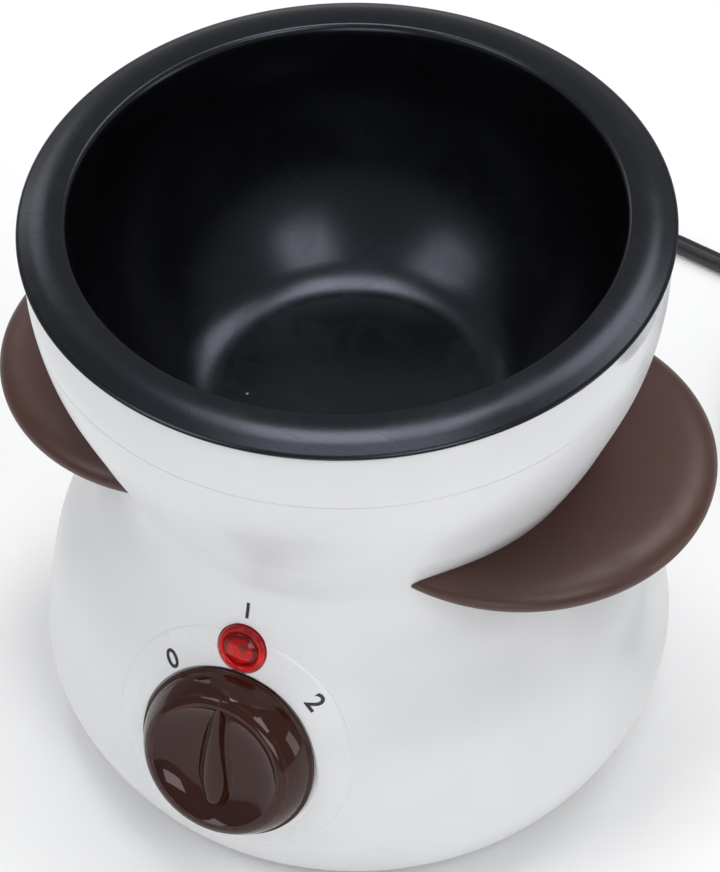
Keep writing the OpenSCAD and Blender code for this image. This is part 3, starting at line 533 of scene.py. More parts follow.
lensRedLook = {"middle": -1.2, "ringIn": (0.0026, 0.0031), "ringOut": (0.0037, 0.0042), "ringShare": 0.85,
               "smudge": (0.7, 1.1), "smudgeSize": (0.0004, 0.0016), "smudgeShare": 0.8, "wander": 0.0009,
               "swirl": (420.0, 3.0, 1.2), "swirlRamp": (0.3, 0.7), "rough": (0.05, 0.11),
               "paintedShade": (-0.001, 0.004), "paintedShadeShare": 0.75,
               "low": (0.40, 0.004, 0.004), "high": (0.62, 0.012, 0.010), "shadow": (0.075, 0.002, 0.004),
               "grey": (0.085, 0.022, 0.024), "shade": (0.16, 0.002, 0.003),
               "sockets": {"IOR": 1.46, "Specular IOR Level": 0.30, "Transmission Weight": 0.30,
                           "Emission Strength": 0.26}}


def awayFrom(tree, where, aside, above, look):
    # how far a point is from a place beside the lens's middle
    node = addNode(tree, "ShaderNodeVectorMath", operation="DISTANCE")
    tree.links.new(where, node.inputs[0])
    place = onDial(np.array([aside, dialLook["lensUp"] + above, look["middle"]]))
    node.inputs[1].default_value = Vector(place * mm)
    return node.outputs["Value"]


def makeLensRed(look):
    # clear red moulding: bright ring, a painted ring of shadow, bright button with the lamp's smudge, and
    # painted shade that darkens it upwards, as the recess shades its upper part
    material, tree, shader, where = newMaterial("lensRed")
    scale, detail, bend = look["swirl"]
    swirl = noise(tree, where, scale, detail, in_Distortion=bend)
    wander = partly(tree, mathNode(tree, "SUBTRACT", swirl, 0.5), look["wander"])
    reach = mathNode(tree, "ADD", awayFrom(tree, where, 0, 0, look), wander)
    within = ramp(tree, reach, *look["ringOut"], 1.0, 0.0)
    ring = mathNode(tree, "MULTIPLY", ramp(tree, reach, *look["ringIn"]), within)
    near = mathNode(tree, "ADD", awayFrom(tree, where, *look["smudge"], look), wander)
    smudge = ramp(tree, near, *look["smudgeSize"], look["smudgeShare"], 0.0)
    lift = addNode(tree, "ShaderNodeVectorMath", operation="DOT_PRODUCT")
    tree.links.new(where, lift.inputs[0])
    lift.inputs[1].default_value = Vector(dialUp)
    level = float(onDial(np.array([0, dialLook["lensUp"], look["middle"]])) @ dialUp) * mm
    tall = mathNode(tree, "ADD", lift.outputs["Value"], wander)
    # painted shade: the tone darkens towards the dial's top, standing in for the recess's shade over the
    # lens's upper part
    paintedShade = ramp(tree, tall, *(level + v for v in look["paintedShade"]), 0.0, look["paintedShadeShare"])
    tone = mixColour(tree, ramp(tree, swirl, *look["swirlRamp"]), look["low"], look["high"])
    tone = mixColour(tree, paintedShade, tone, look["shade"])
    # painted shadow: a dark ring round the button, where the groove lies
    tone = mixColour(tree, partly(tree, ring, look["ringShare"]), tone, look["shadow"])
    tone = mixColour(tree, smudge, tone, look["grey"])
    tree.links.new(tone, shader.inputs["Base Color"])
    tree.links.new(tone, shader.inputs["Emission Color"])
    tree.links.new(ramp(tree, swirl, *look["swirlRamp"], *look["rough"]), shader.inputs["Roughness"])
    setSockets(shader, look["sockets"])
    return material


lampLook = {"noise": (500.0, 2.0), "low": (1.0, 0.22, 0.06), "high": (1.0, 0.40, 0.14),
            "sockets": {"Roughness": 0.2, "Emission Strength": 0.35}}


def makeLampGlow(look):
    material, tree, shader, where = newMaterial("lampGlow")
    tone = mixColour(tree, noise(tree, where, *look["noise"]), look["low"], look["high"])
    tree.links.new(tone, shader.inputs["Base Color"])
    tree.links.new(tone, shader.inputs["Emission Color"])
    setSockets(shader, look["sockets"])
    return material


inkLook = {"noise": (1800.0, 4.0), "thin": (0.45, 0.75), "full": (0.012, 0.012, 0.014),
           "worn": (0.05, 0.05, 0.055), "roughRamp": (0.3, 0.7), "rough": (0.35, 0.5)}


def makeDialInk(look):
    # pad-printed ink, a little thin in places
    material, tree, shader, where = newMaterial("dialInk")
    thin = noise(tree, where, *look["noise"])
    tone = mixColour(tree, ramp(tree, thin, *look["thin"]), look["full"], look["worn"])
    tree.links.new(tone, shader.inputs["Base Color"])
    tree.links.new(ramp(tree, thin, *look["roughRamp"], *look["rough"]), shader.inputs["Roughness"])
    return material


sheathLook = {"stretch": (30.0, 14.0, 1.0), "lines": 0.00002, "detail": 3.0, "grain": (0.0005, 0.000008),
              "dust": (0.006, 0.03, 0.4), "dark": (0.009, 0.009, 0.011), "light": (0.016, 0.016, 0.019),
              "dustColour": (0.2, 0.2, 0.2), "roughRamp": (0.3, 0.7), "rough": (0.34, 0.44), "bump": 0.6}


def makeCordBlack(look):
    # extruded sheath: faint lines run along the lead, with a soft satin bloom; reads the lead's own map
    material, tree, shader, where = newMaterial("cordBlack")
    own = addNode(tree, "ShaderNodeUVMap", uv_map="along")
    place = addNode(tree, "ShaderNodeMapping", in_Scale=look["stretch"], to_Vector=own.outputs["UV"])
    lines = noise(tree, place.outputs["Vector"], 1.0, look["detail"])
    size, depth = look["grain"]
    grain = useGroup(tree, mouldGrain, where, Grain=size, Depth=depth)
    tone = dusted(tree, where, mixColour(tree, grain["Tone"], look["dark"], look["light"]), look)
    rough = ramp(tree, lines, *look["roughRamp"], *look["rough"])
    height = mathNode(tree, "ADD", partly(tree, lines, look["lines"]), grain["Height"])
    dress(tree, shader, tone, rough, height, look["bump"])
    return material


finishes.update(lensRed=makeLensRed(lensRedLook), lampGlow=makeLampGlow(lampLook),
                dialInk=makeDialInk(inkLook), cordBlack=makeCordBlack(sheathLook))
print("materials ready:", len(bpy.data.materials))


# The free cord, its tie and its plug
cordLook = {
    "radius": 2.3, "sides": 20, "step": 1.4, "coilMid": (82, 115), "coilRadius": 28, "pitch": 5.1,
    "startAngle": 80, "turns": 5.22, "layers": 4, "tieGap": 0.6, "climb": 0.5, "perTurn": 24, "apart": 0.6,
    "lead": [(0, 100, 14), (0, 106, 13.8), (-0.8, 113, 12.2), (-2.6, 121, 8.6), (-5.2, 129, 4.8),
             (-7.4, 136, 2.7), (-6.6, 142.6, 2.3), (-3, 149, 2.3), (2.6, 153.6, 2.3), (9.6, 156, 2.3),
             (17, 155.8, 2.3), (26, 154.2, 2.3), (38, 151.9, 2.3), (49, 149.7, 2.3), (60.4, 147.5, 2.5),
             (72.4, 145.25, 2.9), (82.4, 143.4, 2.9)],
    "tail": [(110, 108, 18), (110, 101, 16.6), (110, 94, 13.4), (110, 88, 10.2), (110, 82, 8), (110, 75, 7),
             (110, 70, 6.9)]}


def coilPoint(t, look):
    # circle that spirals in and out by the turn, and climbs one layer wherever it turns back
    layerTurns = look["turns"] / look["layers"]
    n = np.floor(t / layerTurns)
    q = t / layerTurns - n
    fold = np.where(n % 2 == 0, q, 1 - q)
    r = look["coilRadius"] - look["pitch"] * layerTurns * fold
    m = np.round(t / layerTurns)
    e = np.clip((t - m * layerTurns) / look["climb"] + 0.5, 0, 1)
    level = np.clip(m - 1 + e * e * (3 - 2 * e), 0, look["layers"] - 1)
    a = np.radians(look["startAngle"] - 360 * t)
    midX, midY = look["coilMid"]
    height = look["radius"] + look["tieGap"] + look["pitch"] * level
    return np.stack([midX + r * np.cos(a), midY + r * np.sin(a), height], -1)


def cordRoute(look):
    # the source's own points, joined by one smooth curve and taken again at even steps
    count = look["perTurn"]
    t = np.append(np.arange(0, math.floor(look["turns"] * count) + 1) / count, look["turns"])
    points = np.concatenate([look["lead"], coilPoint(t, look), look["tail"]])
    keep = np.append(True, np.linalg.norm(np.diff(points, axis=0), axis=1) > look["apart"])
    points = points[keep]
    reach = np.append(0, np.cumsum(np.linalg.norm(np.diff(points, axis=0), axis=1)))
    slope = np.gradient(points, reach, axis=0)
    s = np.linspace(0, reach[-1], int(reach[-1] / look["step"]) + 1)
    i = np.clip(np.searchsorted(reach, s, side="right") - 1, 0, len(points) - 2)
    h = (reach[i + 1] - reach[i])[:, None]
    q = (s - reach[i])[:, None] / h
    return hermite(q, points[i], points[i + 1], h * slope[i], h * slope[i + 1])


def tubeGrid(route, radius, sides):
    # circles square to the route, their frame kept level so that the tube never twists
    ahead = np.gradient(route, axis=0)
    ahead /= np.linalg.norm(ahead, axis=1, keepdims=True)
    side = np.cross(ahead, [0, 0, 1.0])
    side /= np.linalg.norm(side, axis=1, keepdims=True)
    up = np.cross(side, ahead)
    a = np.linspace(0, 2 * math.pi, sides, endpoint=False)[None, :, None]
    grid = route[:, None] + radius * (np.cos(a) * side[:, None] + np.sin(a) * up[:, None])
    first, last = (np.repeat(route[k][None, None], sides, axis=1) for k in (0, -1))
    return np.concatenate([first, grid, last])


def alongMap(along, sides):
    # the lead's own map: metres along it and its share of the way round, a row for each row of the tube
    rows = np.concatenate([along[:1], along, along[-1:]]) * mm
    share = np.linspace(0, 1, sides, endpoint=False)
    return np.stack(np.broadcast_arrays(rows[:, None], share[None]), -1).reshape(-1, 2)


route = cordRoute(cordLook)
along = np.append(0, np.cumsum(np.linalg.norm(np.diff(route, axis=0), axis=1)))
cordTube = tubeGrid(route, cordLook["radius"], cordLook["sides"])
mainsCord = makePiece("mainsCord", [(cordTube, False, True)], 60, alongMap(along, cordLook["sides"]))
finish(mainsCord, "base", "cord_black", "cordBlack", "cord_lead", "cord_coil")

tieLook = {"angle": -90, "low": 19.9, "high": 29.6, "play": 0.1, "corner": 2.56, "width": 4.0, "thick": 0.6,
           "edge": 0.45, "hollow": 0.42, "ribs": (0.72, 0.5), "rounds": (0.25, 0.2, 0.15)}


def makeTie(look, cord):
    # a strap round one side of the coil: a rounded oblong loop, its section a soft lozenge with two ribs
    w = look["high"] - look["low"] + 2 * look["play"]
    h = 2 * cord["radius"] + cord["pitch"] * (cord["layers"] - 1) + 2 * look["play"]
    corners = ((-w, -h), (w, -h), (w, h), (-w, h))
    loop = rounded([(x / 2, y / 2, look["corner"]) for x, y in corners], 10, True)
    run = np.roll(loop, -1, 0) - np.roll(loop, 1, 0)
    normal = np.stack([run[:, 1], -run[:, 0]], -1)
    normal /= np.linalg.norm(normal, axis=1, keepdims=True)
    half, thick, edge, hollow = look["width"] / 2, look["thick"], look["edge"], look["hollow"]
    crest, dip = (half * v for v in look["ribs"])
    foot, brow, soft = look["rounds"]
    section = rounded([(-half, 0, foot), (half, 0, foot), (half, edge, brow), (crest, thick, soft),
                       (dip, hollow, soft), (-dip, hollow, soft), (-crest, thick, soft),
                       (-half, edge, brow)], 4, True)
    flat = loop[:, None] + normal[:, None] * section[None, :, 1:2]
    a = math.radians(look["angle"])
    radial = np.array([math.cos(a), math.sin(a), 0])
    tangent = np.array([-math.sin(a), math.cos(a), 0])
    upright = np.array([0, 0, 1.0])
    centre = np.array([*cord["coilMid"], h / 2 + thick]) + (look["low"] + look["high"]) / 2 * radial
    grid = centre + flat[..., 0:1] * radial + flat[..., 1:2] * upright + section[None, :, 0:1] * tangent
    return makePiece("cordTie", [(grid, True, True)], 50)


cordTie = finish(makeTie(tieLook, cordLook), "base", "tie_black", "tieBlack", "cord_tie")

# the widths and thicknesses are halves, each with its place along the plug; power makes the sections oblong
plugLook = {"at": (110, 70, 6.9), "sides": 72, "neck": 10, "length": 34, "power": 0.5,
            "wide": [(7.5, 10), (12, 25.3), (17.65, 36.52), (17.65, 44)],
            "thick": [(5.9, 10), (6.5, 16), (6.2, 25), (6.7, 35), (6.9, 44)],
            "faceEdge": 0.35, "backEdge": (0.9, 1.5), "grooves": (15, 27, 6, 0.28),
            "neckRadii": (2.9, 3.3, 4.4), "neckEdge": 0.5, "neckInto": 1.2, "rings": (8, 0.25, 0.7),
            "ringSpan": (1, 9.2), "pinGap": 19, "pin": (2.0, 19, 1.1)}


def plugPoint(across, up, ahead, look):
    # along the plug's own length, towards -Y
    base = np.array(look["at"])
    return np.stack([base[0] - across, base[1] - ahead, base[2] + up], -1)


def plugTube(across, up, ahead, look):
    # rows of points along the plug, closed by one point at each end
    flat = np.zeros((1, look["sides"]))
    first, last = (plugPoint(flat, flat, flat + ahead[k], look) for k in (0, -1))
    return np.concatenate([first, plugPoint(across, up, ahead[:, None] + flat, look), last]), False, True


def makePlug(look):
    # rounded-oblong sections along the length: narrow at the lead, waisted for the fingers, full at the face
    face = look["neck"] + look["length"]
    edge = look["faceEdge"]
    half = smoothLine(look["wide"], 12)
    thickness = np.array(look["thick"])
    ahead = np.sort(np.concatenate([half[:, 1], [face - edge, face]]))
    backDeep, backLong = look["backEdge"]
    ease = (np.interp(ahead, [face - edge, face], [0, edge])
            + np.interp(ahead, [look["neck"], look["neck"] + backLong], [backDeep, 0]))
    wide = np.interp(ahead, half[:, 1], half[:, 0]) - ease
    thick = np.interp(ahead, thickness[:, 1], thickness[:, 0]) - ease
    a = np.linspace(0, 2 * math.pi, look["sides"], endpoint=False)[None]
    # superellipse: half width and half thickness times a signed power of cosine and sine
    cx, sy = softPower(np.cos(a), look["power"]), softPower(np.sin(a), look["power"])
    first, last, waves, deep = look["grooves"]
    place = ahead[:, None]
    wave = np.clip(np.sin((place - first) / (last - first) * waves * math.pi), 0, 1)
    groove = deep * wave * ((place > first) & (place < last))
    shells = [plugTube(wide[:, None] * cx, (thick[:, None] - groove) * sy, ahead, look)]
    # the neck: a cone with ring grooves that let it bend
    run = np.linspace(0, look["neck"] + look["neckInto"], 60)
    r = np.interp(run, [0, look["neckEdge"], look["neck"]], look["neckRadii"])
    waves, level, deep = look["rings"]
    first, last = look["ringSpan"]
    r = r - deep * (np.sin(run / look["neck"] * waves * math.pi) > level) * (run > first) * (run < last)
    shells.append(plugTube(r[:, None] * np.cos(a), r[:, None] * np.sin(a), run, look))
    return makePiece("plugBody", shells, 40)


def makePins(look):
    # two round pins, domed at the tip
    radius, length, tip = look["pin"]
    start = look["neck"] + look["length"]
    g = spin(rounded([(0, 0, 0), (radius, 0, 0), (radius, length, tip), (0, length, 0)], 8), 48)
    grids = []
    for shift in (-look["pinGap"] / 2, look["pinGap"] / 2):
        grids.append((plugPoint(g[..., 0] + shift, g[..., 1], g[..., 2] + start, look), True, False))
    return makePiece("plugPins", grids, 40)


plugBody = finish(makePlug(plugLook), "base", "plug_black", "plugBlack", "plug_body")
plugPins = finish(makePins(plugLook), "base", "pin_steel", "pinNickel", "plug_pins")

reliefLook = {"height": 14, "flange": (8.2, 2.2, 0.9), "foot": (5.4, 0.3), "tip": (3.1, 0.35), "end": 100,
              "hole": 5.9, "inside": 7, "shoulder": (1.5, 1.2), "ribs": 6, "shift": 0.9, "level": 0.1,
              "steep": 3, "span": (0.05, 0.97), "cut": 0.8}


def makeRelief(look):
    # a cone spun round the lead's way out, cut by ring grooves, with a round flange on the body
    start = float(bodyRadius(look["height"]))
    wide, reach, flangeRound = look["flange"]
    foot, footRound = look["foot"]
    tip, tipEdge = look["tip"]
    hole, end, back = look["hole"], look["end"], start - look["inside"]
    low, high = (start - v for v in look["shoulder"])
    y = np.linspace(start + reach, end, 180)
    q = (y - y[0]) / (y[-1] - y[0])
    wave = np.sin(q * (look["ribs"] + 0.5) * 2 * math.pi - look["shift"])
    first, last = look["span"]
    groove = np.clip((wave - look["level"]) * look["steep"], 0, 1) * (q > first) * (q < last)
    r = foot + (tip - foot) * q - look["cut"] * groove
    flange = rounded([(hole, low, 0), (wide, high, 0), (wide, y[0], flangeRound),
                      (foot + footRound, y[0], footRound)], 6)
    line = np.concatenate([[(0, back), (hole, back), (hole, low)], flange, np.stack([r, y], -1),
                           [(tip - tipEdge, end), (0, end)]])
    return makePiece("cordBushing", [(lyingSpin(line, 96, look["height"]), True, False)], 40)


cordBushing = finish(makeRelief(reliefLook), "base", "cord_black", "reliefBlack", "strain_relief")
print("cord laid:", round(along[-1] * mm, 4), "m")

# The pot
potLook = {"floorRows": (0, 7, 14, 20, 24), "floor": 89.3, "flat": 27.5, "turn": 31.7, "wallStart": 36.0,
           "bowl": 55.5, "top": 132.0, "depth": 51.8, "wall": 1.6, "base": 84.8, "baseDepth": 59.5,
           "crest": 141.95, "round": (1.4, 2.6), "lip": 58.6, "lipTurn": 61.2, "fall": 0.5, "rim": 66.0,
           "edge": (140.1, 139.5), "edgeSoft": (0.4, 0.35), "edgeRounds": (0.3, 0.25, 0.2),
           "tuck": (64.9, 138.4), "tuckRounds": (0.3, 0.6), "tuckDeep": 2, "steps": 320}


def bowlWall(radius, top, depth, low, steps):
    # quarter of an ellipse: radius times cosine, depth times sine, from a height up to the mouth
    t = np.linspace(math.asin((top - low) / depth), 0, steps)
    return np.stack([radius * np.cos(t), top - depth * np.sin(t)], -1)


def bend(a, b, c, steps):
    # parabola from a to c that starts and ends along the lines to b
    t = np.linspace(0, 1, steps)[:, None]
    return (1 - t) ** 2 * np.array(a) + 2 * t * (1 - t) * np.array(b) + t**2 * np.array(c)


def makePot(look):
    # a spun line: flat floor, hollow, elliptic bowl, rounded mouth, level lip, rim that falls to a thin edge
    floor, crest, top, bowl = look["floor"], look["crest"], look["top"], look["bowl"]
    low = top - look["depth"] * math.sqrt(1 - (look["wallStart"] / bowl) ** 2)
    inside = bowlWall(bowl, top, look["depth"], low, 90)
    hollow = bend((look["flat"], floor), (look["turn"], floor), inside[0], 24)
    a = np.radians(np.linspace(180, 90, 14))
    wide, high = look["round"]
    mouth = np.stack([bowl + wide * (1 + np.cos(a)), crest - high * (1 - np.sin(a))], -1)
    rimHigh, rimLow = look["edge"]
    inwards, down = look["edgeSoft"]
    turn, edge = np.array([look["lipTurn"], crest]), np.array([look["rim"] - inwards, rimHigh])
    fall = bend((look["lip"], crest), turn, turn + (edge - turn) * look["fall"], 16)
    slope = np.linspace(fall[-1], edge, 14)[1:-1]
    first, second, third = look["edgeRounds"]
    outer, tucked = bowl + look["wall"], look["tuck"][1]
    rim = rounded([(*slope[-1], 0), (*edge, first), (look["rim"], rimHigh - down, second),
                   (look["rim"], rimLow, third), (*look["tuck"], look["tuckRounds"][0]),
                   (outer, tucked, look["tuckRounds"][1]), (outer, tucked - look["tuckDeep"], 0)], 6)
    outside = bowlWall(outer, top, look["baseDepth"] + look["wall"], look["base"], 90)[::-1]
    flat = [(r, floor) for r in look["floorRows"]]
    line = np.concatenate([flat, hollow, inside[1:], mouth[1:], fall, slope, rim[1:], outside,
                           [(0, look["base"])]])
    return makePiece("bowlPot", [(spin(line, look["steps"]), True, False)], 30)


finish(makePot(potLook), "pot", "pot_coating", "potCoating", "inner_pot")
print("pot made")

# The body, its collar and the dial panel
def makeBody(look, dial):
    # the outline spun round, closed by an inner wall with the heater's ledge, with its holes cut
    wall, seam, e, foot = look["wall"], look["seam"], look["seamEdge"], look["foot"]
    outer = bodyPart(foot + look["footEdge"], seam - e)
    inner = bodyPart(foot, seam, wall)[::-1]
    ledgeIn, ledgeLow, ledgeTop = look["ledge"]
    over = inner[inner[:, 1] > ledgeTop]
    under = inner[inner[:, 1] < ledgeLow]
    footRadius = bodyRadius(foot)
    edge = rounded([(footRadius - wall, foot, 0), (footRadius, foot, look["footRound"]), (*outer[0], 0)], 6)
    ledge = [(bodyRadius(ledgeTop) - wall, ledgeTop), (ledgeIn, ledgeTop), (ledgeIn, ledgeLow),
             (bodyRadius(ledgeLow) - wall, ledgeLow)]
    rim = [(bodyRadius(seam) - e, seam), (bodyRadius(seam) - wall, seam)]
    line = np.concatenate([edge[1:-1], outer, rim, over[1:], ledge, under])
    body = makePiece("bodyShell", [(spin(line, look["steps"]), True, True)], 30)
    pocket, depth = dial["pocket"]
    pocketClear, lensClear = dial["clear"]
    hole, holeIn, holeOut, holeUp = look["cordHole"]
    cutters = [dialCutter("cutA", pocket, -depth, pocketClear, 0),
               dialCutter("cutB", *dial["lensSeat"], lensClear, dial["lensUp"]),
               dialCutter("cutC", *dial["lensBore"], lensClear, dial["lensUp"]),
               makePiece("cutD", [(panelSeat(dial), True, True)])]
    line = np.array([(0, holeIn), (hole, holeIn), (hole, holeOut), (0, holeOut)], float)
    cutters.append(makePiece("cutE", [(lyingSpin(line, 64, holeUp), True, False)]))
    cutAway(body, cutters, 30)
    # the pocket's floor and the two pads for the handle screws are closed solids of their own
    shaft, thick = dial["pocketFloor"]
    under, outer, inner = dial["pocketRounds"]
    floor = rounded([(shaft, -depth - thick, under), (pocket, -depth - thick, under),
                     (pocket, -depth, outer), (shaft, -depth, inner)], 4, True)
    extra = [(onDial(spin(floor, 96)), True, True)]
    out, up = look["padAt"]
    for side in (-1, 1):
        extra.append((softBlock((side * out, 0, up), look["pad"], look["padPower"]), True, False))
    joinInto(body, makePiece("lump", extra, 30))
    smoothPiece(body, 30)
    return body


def dialCutter(name, radius, low, high, up):
    # a plain cylinder square to the dial, as high above its middle as up says
    return makePiece(name, [(dialDisc(radius, low, high, up), True, False)])


def softBlock(centre, half, power, steps=40):
    # a block with rounded edges: signed powers of sine and cosine of two angles
    u = np.linspace(-math.pi, math.pi, steps, endpoint=False)[:, None]
    v = np.linspace(-math.pi / 2, math.pi / 2, steps // 2 + 1)[None]
    ring = softPower(np.cos(v), power)
    x, y = ring * softPower(np.cos(u), power), ring * softPower(np.sin(u), power)
    return np.array(centre) + np.array(half) * np.stack([x, y, softPower(np.sin(v), power) + 0 * u], -1)


def joinInto(piece, other):
    # adds the other mesh to the piece and removes it
    work = bmesh.new()
    work.from_mesh(piece.data)
    work.from_mesh(other.data)
    work.to_mesh(piece.data)
    work.free()
    bpy.data.objects.remove(other)


def panelRing(dial, hole, radius, section):
    # a ring that follows the body, from a hole round the dial's axis to a rim round the ring's own middle;
    # a section row is the share of the way out, the millimetres further out, and the height over the body
    middle = dial["panel"][1]
    a = np.linspace(0, 2 * math.pi, 256, endpoint=False)[:, None]
    inner = -middle * np.sin(a) + np.sqrt(hole**2 - (middle * np.cos(a)) ** 2)
    s = np.array(section, float)[None]
    rho = inner + (radius - inner) * s[..., 0] + s[..., 1]
    x, y = rho * np.cos(a), middle + rho * np.sin(a)
    return onDial(np.stack([x, y, faceDepth(x, y) + s[..., 2]], -1))


def panelSeat(dial):
    # cuts the panel's place into the body
    sink, top = dial["panelSink"], dial["seatTop"]
    section = [(0, 0, -sink), (1, 0, -sink), (1, 0, top), (0, 0, top)]
    hole, radius = dial["pocket"][0] - dial["seatReach"], dial["panel"][0] + dial["seatPlay"]
    return panelRing(dial, hole, radius, section)


def makePanel(dial):
    # a thin ring with soft edges, with the lens's hole cut through it
    grow, top, e = dial["panelGrow"], dial["proud"], dial["panelEdge"]
    sink = dial["panelSink"] - dial["panelPlay"]
    part = 0.3 * e
    section = [(0, 0, -sink), (1, 0, -sink), (1, 0, top - e), (1, -part, top - part), (1, -e, top)]
    section += [(s, 0, top) for s in (0.85, 0.7, 0.55, 0.4, 0.25, 0.12)]
    section += [(0, e, top), (0, part, top - part), (0, 0, top - e)]
    ring = panelRing(dial, dial["pocket"][0] - grow, dial["panel"][0] + grow, section)
    panel = makePiece("dialPanel", [(ring, True, True)], 50)
    clear = dial["clear"][1]
    return cutAway(panel, [dialCutter("cutF", dial["lensSeat"][0], -clear, clear, dial["lensUp"])], 50)


collarLook = {"top": 138.1, "lip": 59.2, "lipLow": 131.1, "soft": (0.35, 0.1), "lipSoft": (0.4, 0.3),
              "scoopRound": 5, "scoopDisc": 35, "scoopFar": 100.6, "scoopIn": 0.5,
              "rows": (60, 26), "steps": 512}


def makeCollar(look, body):
    # ring over the seam with an inner lip; its outer radius dips where a round-nosed disc cuts each scoop
    wall, seam, e = body["wall"], body["seam"], body["seamEdge"]
    top, lip, lipLow = look["top"], look["lip"], look["lipLow"]
    (down, edge), (lipDown, lipUp), (rows, across) = look["soft"], look["lipSoft"], look["rows"]
    outer = bodyPart(seam, top)
    height = np.linspace(seam + e, top - down, rows)
    outside = np.stack([np.interp(height, outer[:, 1], outer[:, 0]), height], -1)
    flat = np.stack([np.linspace(bodyRadius(top) - down, lip + lipDown, across), np.full(across, top)], -1)
    line = np.concatenate([[(bodyRadius(seam) - wall, seam), (bodyRadius(seam) - e, seam)], outside,
                           [(bodyRadius(top) - edge, top - edge)], flat,
                           [(lip, top - lipDown), (lip, lipLow + lipUp), (lip + lipUp, lipLow)],
                           bodyPart(seam, lipLow, wall)[::-1]])
    grid = spin(line, look["steps"])
    # the scoop: inside the cutter's disc a point is drawn in to the disc's near side
    x, y, z = grid[..., 0].copy(), grid[..., 1].copy(), grid[..., 2]
    nose, far = look["scoopRound"], look["scoopFar"]
    size = look["scoopDisc"] + np.sqrt(nose**2 - np.clip(top - z, 0, nose) ** 2)
    angle = np.arctan2(y, np.abs(x))
    aside = far * np.sin(angle)
    near = far * np.cos(angle) - np.sqrt(np.clip(size**2 - aside**2, 0, None))
    now = np.hypot(x, y)
    scooped = (np.abs(aside) < size) & (top - z < nose) & (now > lip + look["scoopIn"])
    limit = np.where(scooped, np.minimum(now, near), now)
    grid[..., 0], grid[..., 1] = x * limit / now, y * limit / now
    return makePiece("topCollar", [(grid, True, True)], 40)


bodyShell = finish(makeBody(bodyLook, dialLook), "base", "body_white", "bodyWhite", "body_shell")
print("body made:", len(bodyShell.data.polygons), "faces")
finish(makeCollar(collarLook, bodyLook), "base", "collar_white", "collarWhite", "top_collar")
finish(makePanel(dialLook), "base", "panel_white", "panelWhite", "dial_panel")
print("collar and dial panel made")

# The handles
handleLook = {"centre": 38.01, "radius": 41.4, "height": 85.0, "top": 3.41, "low": 2.79, "rollWide": 7.0,
              "underWide": 3.5, "dish": (0.5, 14), "dishStart": 1.5, "gap": 0.12, "cut": (60, 110)}


def makeHandle(name, side, look):
    # a spun disc with a broad roll over its rim and a smaller one under it, less the body's own surface
    q = np.linspace(0, math.pi / 2, 18)
    radius, top, low = look["radius"], look["top"], look["low"]
    roll = np.stack([radius - look["rollWide"] * (1 - np.cos(q)), top * np.sin(q)], -1)
    under = np.stack([radius - look["underWide"] * (1 - np.cos(q)), -low * np.sin(q)], -1)
    flat = roll[-1][0]
    r = np.linspace(flat - look["dishStart"], 0, 16)
    deep, long = look["dish"]
    share = np.clip((flat - r) / long, 0, 1)
    dish = np.stack([r, top - deep * share**2 * (3 - 2 * share)], -1)
    line = np.concatenate([[(0, -low)], under[::-1], roll[1:], dish])
    disc = spin(line, 256) + [side * look["centre"], 0, look["height"]]
    piece = makePiece(name, [(disc, True, False)], 40)
    cutLow, cutHigh = look["cut"]
    cutter = np.concatenate([[(0, cutLow)], bodyPart(cutLow, cutHigh, -look["gap"]), [(0, cutHigh)]])
    return cutAway(piece, [makePiece("cutG", [(spin(cutter, 288), True, False)], 40)], 40)


for name, side, node in (("handleLeft", -1, "handle_left"), ("handleRight", 1, "handle_right")):
    finish(makeHandle(name, side, handleLook), "base", "handle_brown", "handleBrown", node)
print("handles made")

# The knob and the lens
knobLook = {"back": -2.4, "flange": (19.7, 1.1), "wall": 19.1, "bulge": 18.2, "face": 15.6, "top": 5.0,
            "rim": 0.85, "floor": 2.1, "shell": 1.7, "bulgeDown": 2.9, "bulgeRound": 3.0, "rimRound": 1.5,
            "dishPower": 4.5, "dishDown": 0.12, "hub": (5.4, -9.4), "hubRounds": (0.3, 0.5),
            "shellRounds": (0.8, 0.1), "flangeRounds": (0.3, 0.4, 0.15), "flangeLift": 0.05}
gripLook = {"leaf": [(-8.3, 1.95), (-6.0, 2.45), (-3.0, 2.5), (2.0, 1.95), (8.0, 1.3), (12.5, 0.95),
                     (16.2, 0.4)],
            "turn": 1.8, "lean": 1.0, "flare": 1.5, "flareIn": 0.8, "crown": 0.4, "sunk": 0.9, "down": 0.05}


def knobLine(look):
    # spun line: thin flange, swelling wall that rolls into the rim, dish that falls as a power of the radius
    back, top, floor, face, wall = (look[k] for k in ("back", "top", "floor", "face", "wall"))
    flange, step = look["flange"]
    hub, hubBack = look["hub"]
    hubRound, hubCorner = look["hubRounds"]
    shellRound, shellEdge = look["shellRounds"]
    low, high, corner = look["flangeRounds"]
    under = floor - look["shell"]
    inner = face - look["rim"]
    q = np.linspace(1, 0, 40)
    dish = np.stack([inner * q, floor + (top - look["dishDown"] - floor) * q ** look["dishPower"]], -1)
    outside = rounded([(0, hubBack, 0), (hub, hubBack, hubRound), (hub, under, hubCorner),
                       (face - look["shell"], under, shellRound), (wall - look["shell"], back, shellEdge),
                       (flange, back, low), (flange, back + step, high),
                       (wall, back + step + look["flangeLift"], corner),
                       (look["bulge"], top - look["bulgeDown"], look["bulgeRound"]),
                       (face, top, look["rimRound"]), (inner, top, 0.2), (*dish[1], 0)], 12)
    return np.concatenate([outside[:-1], dish[1:]])


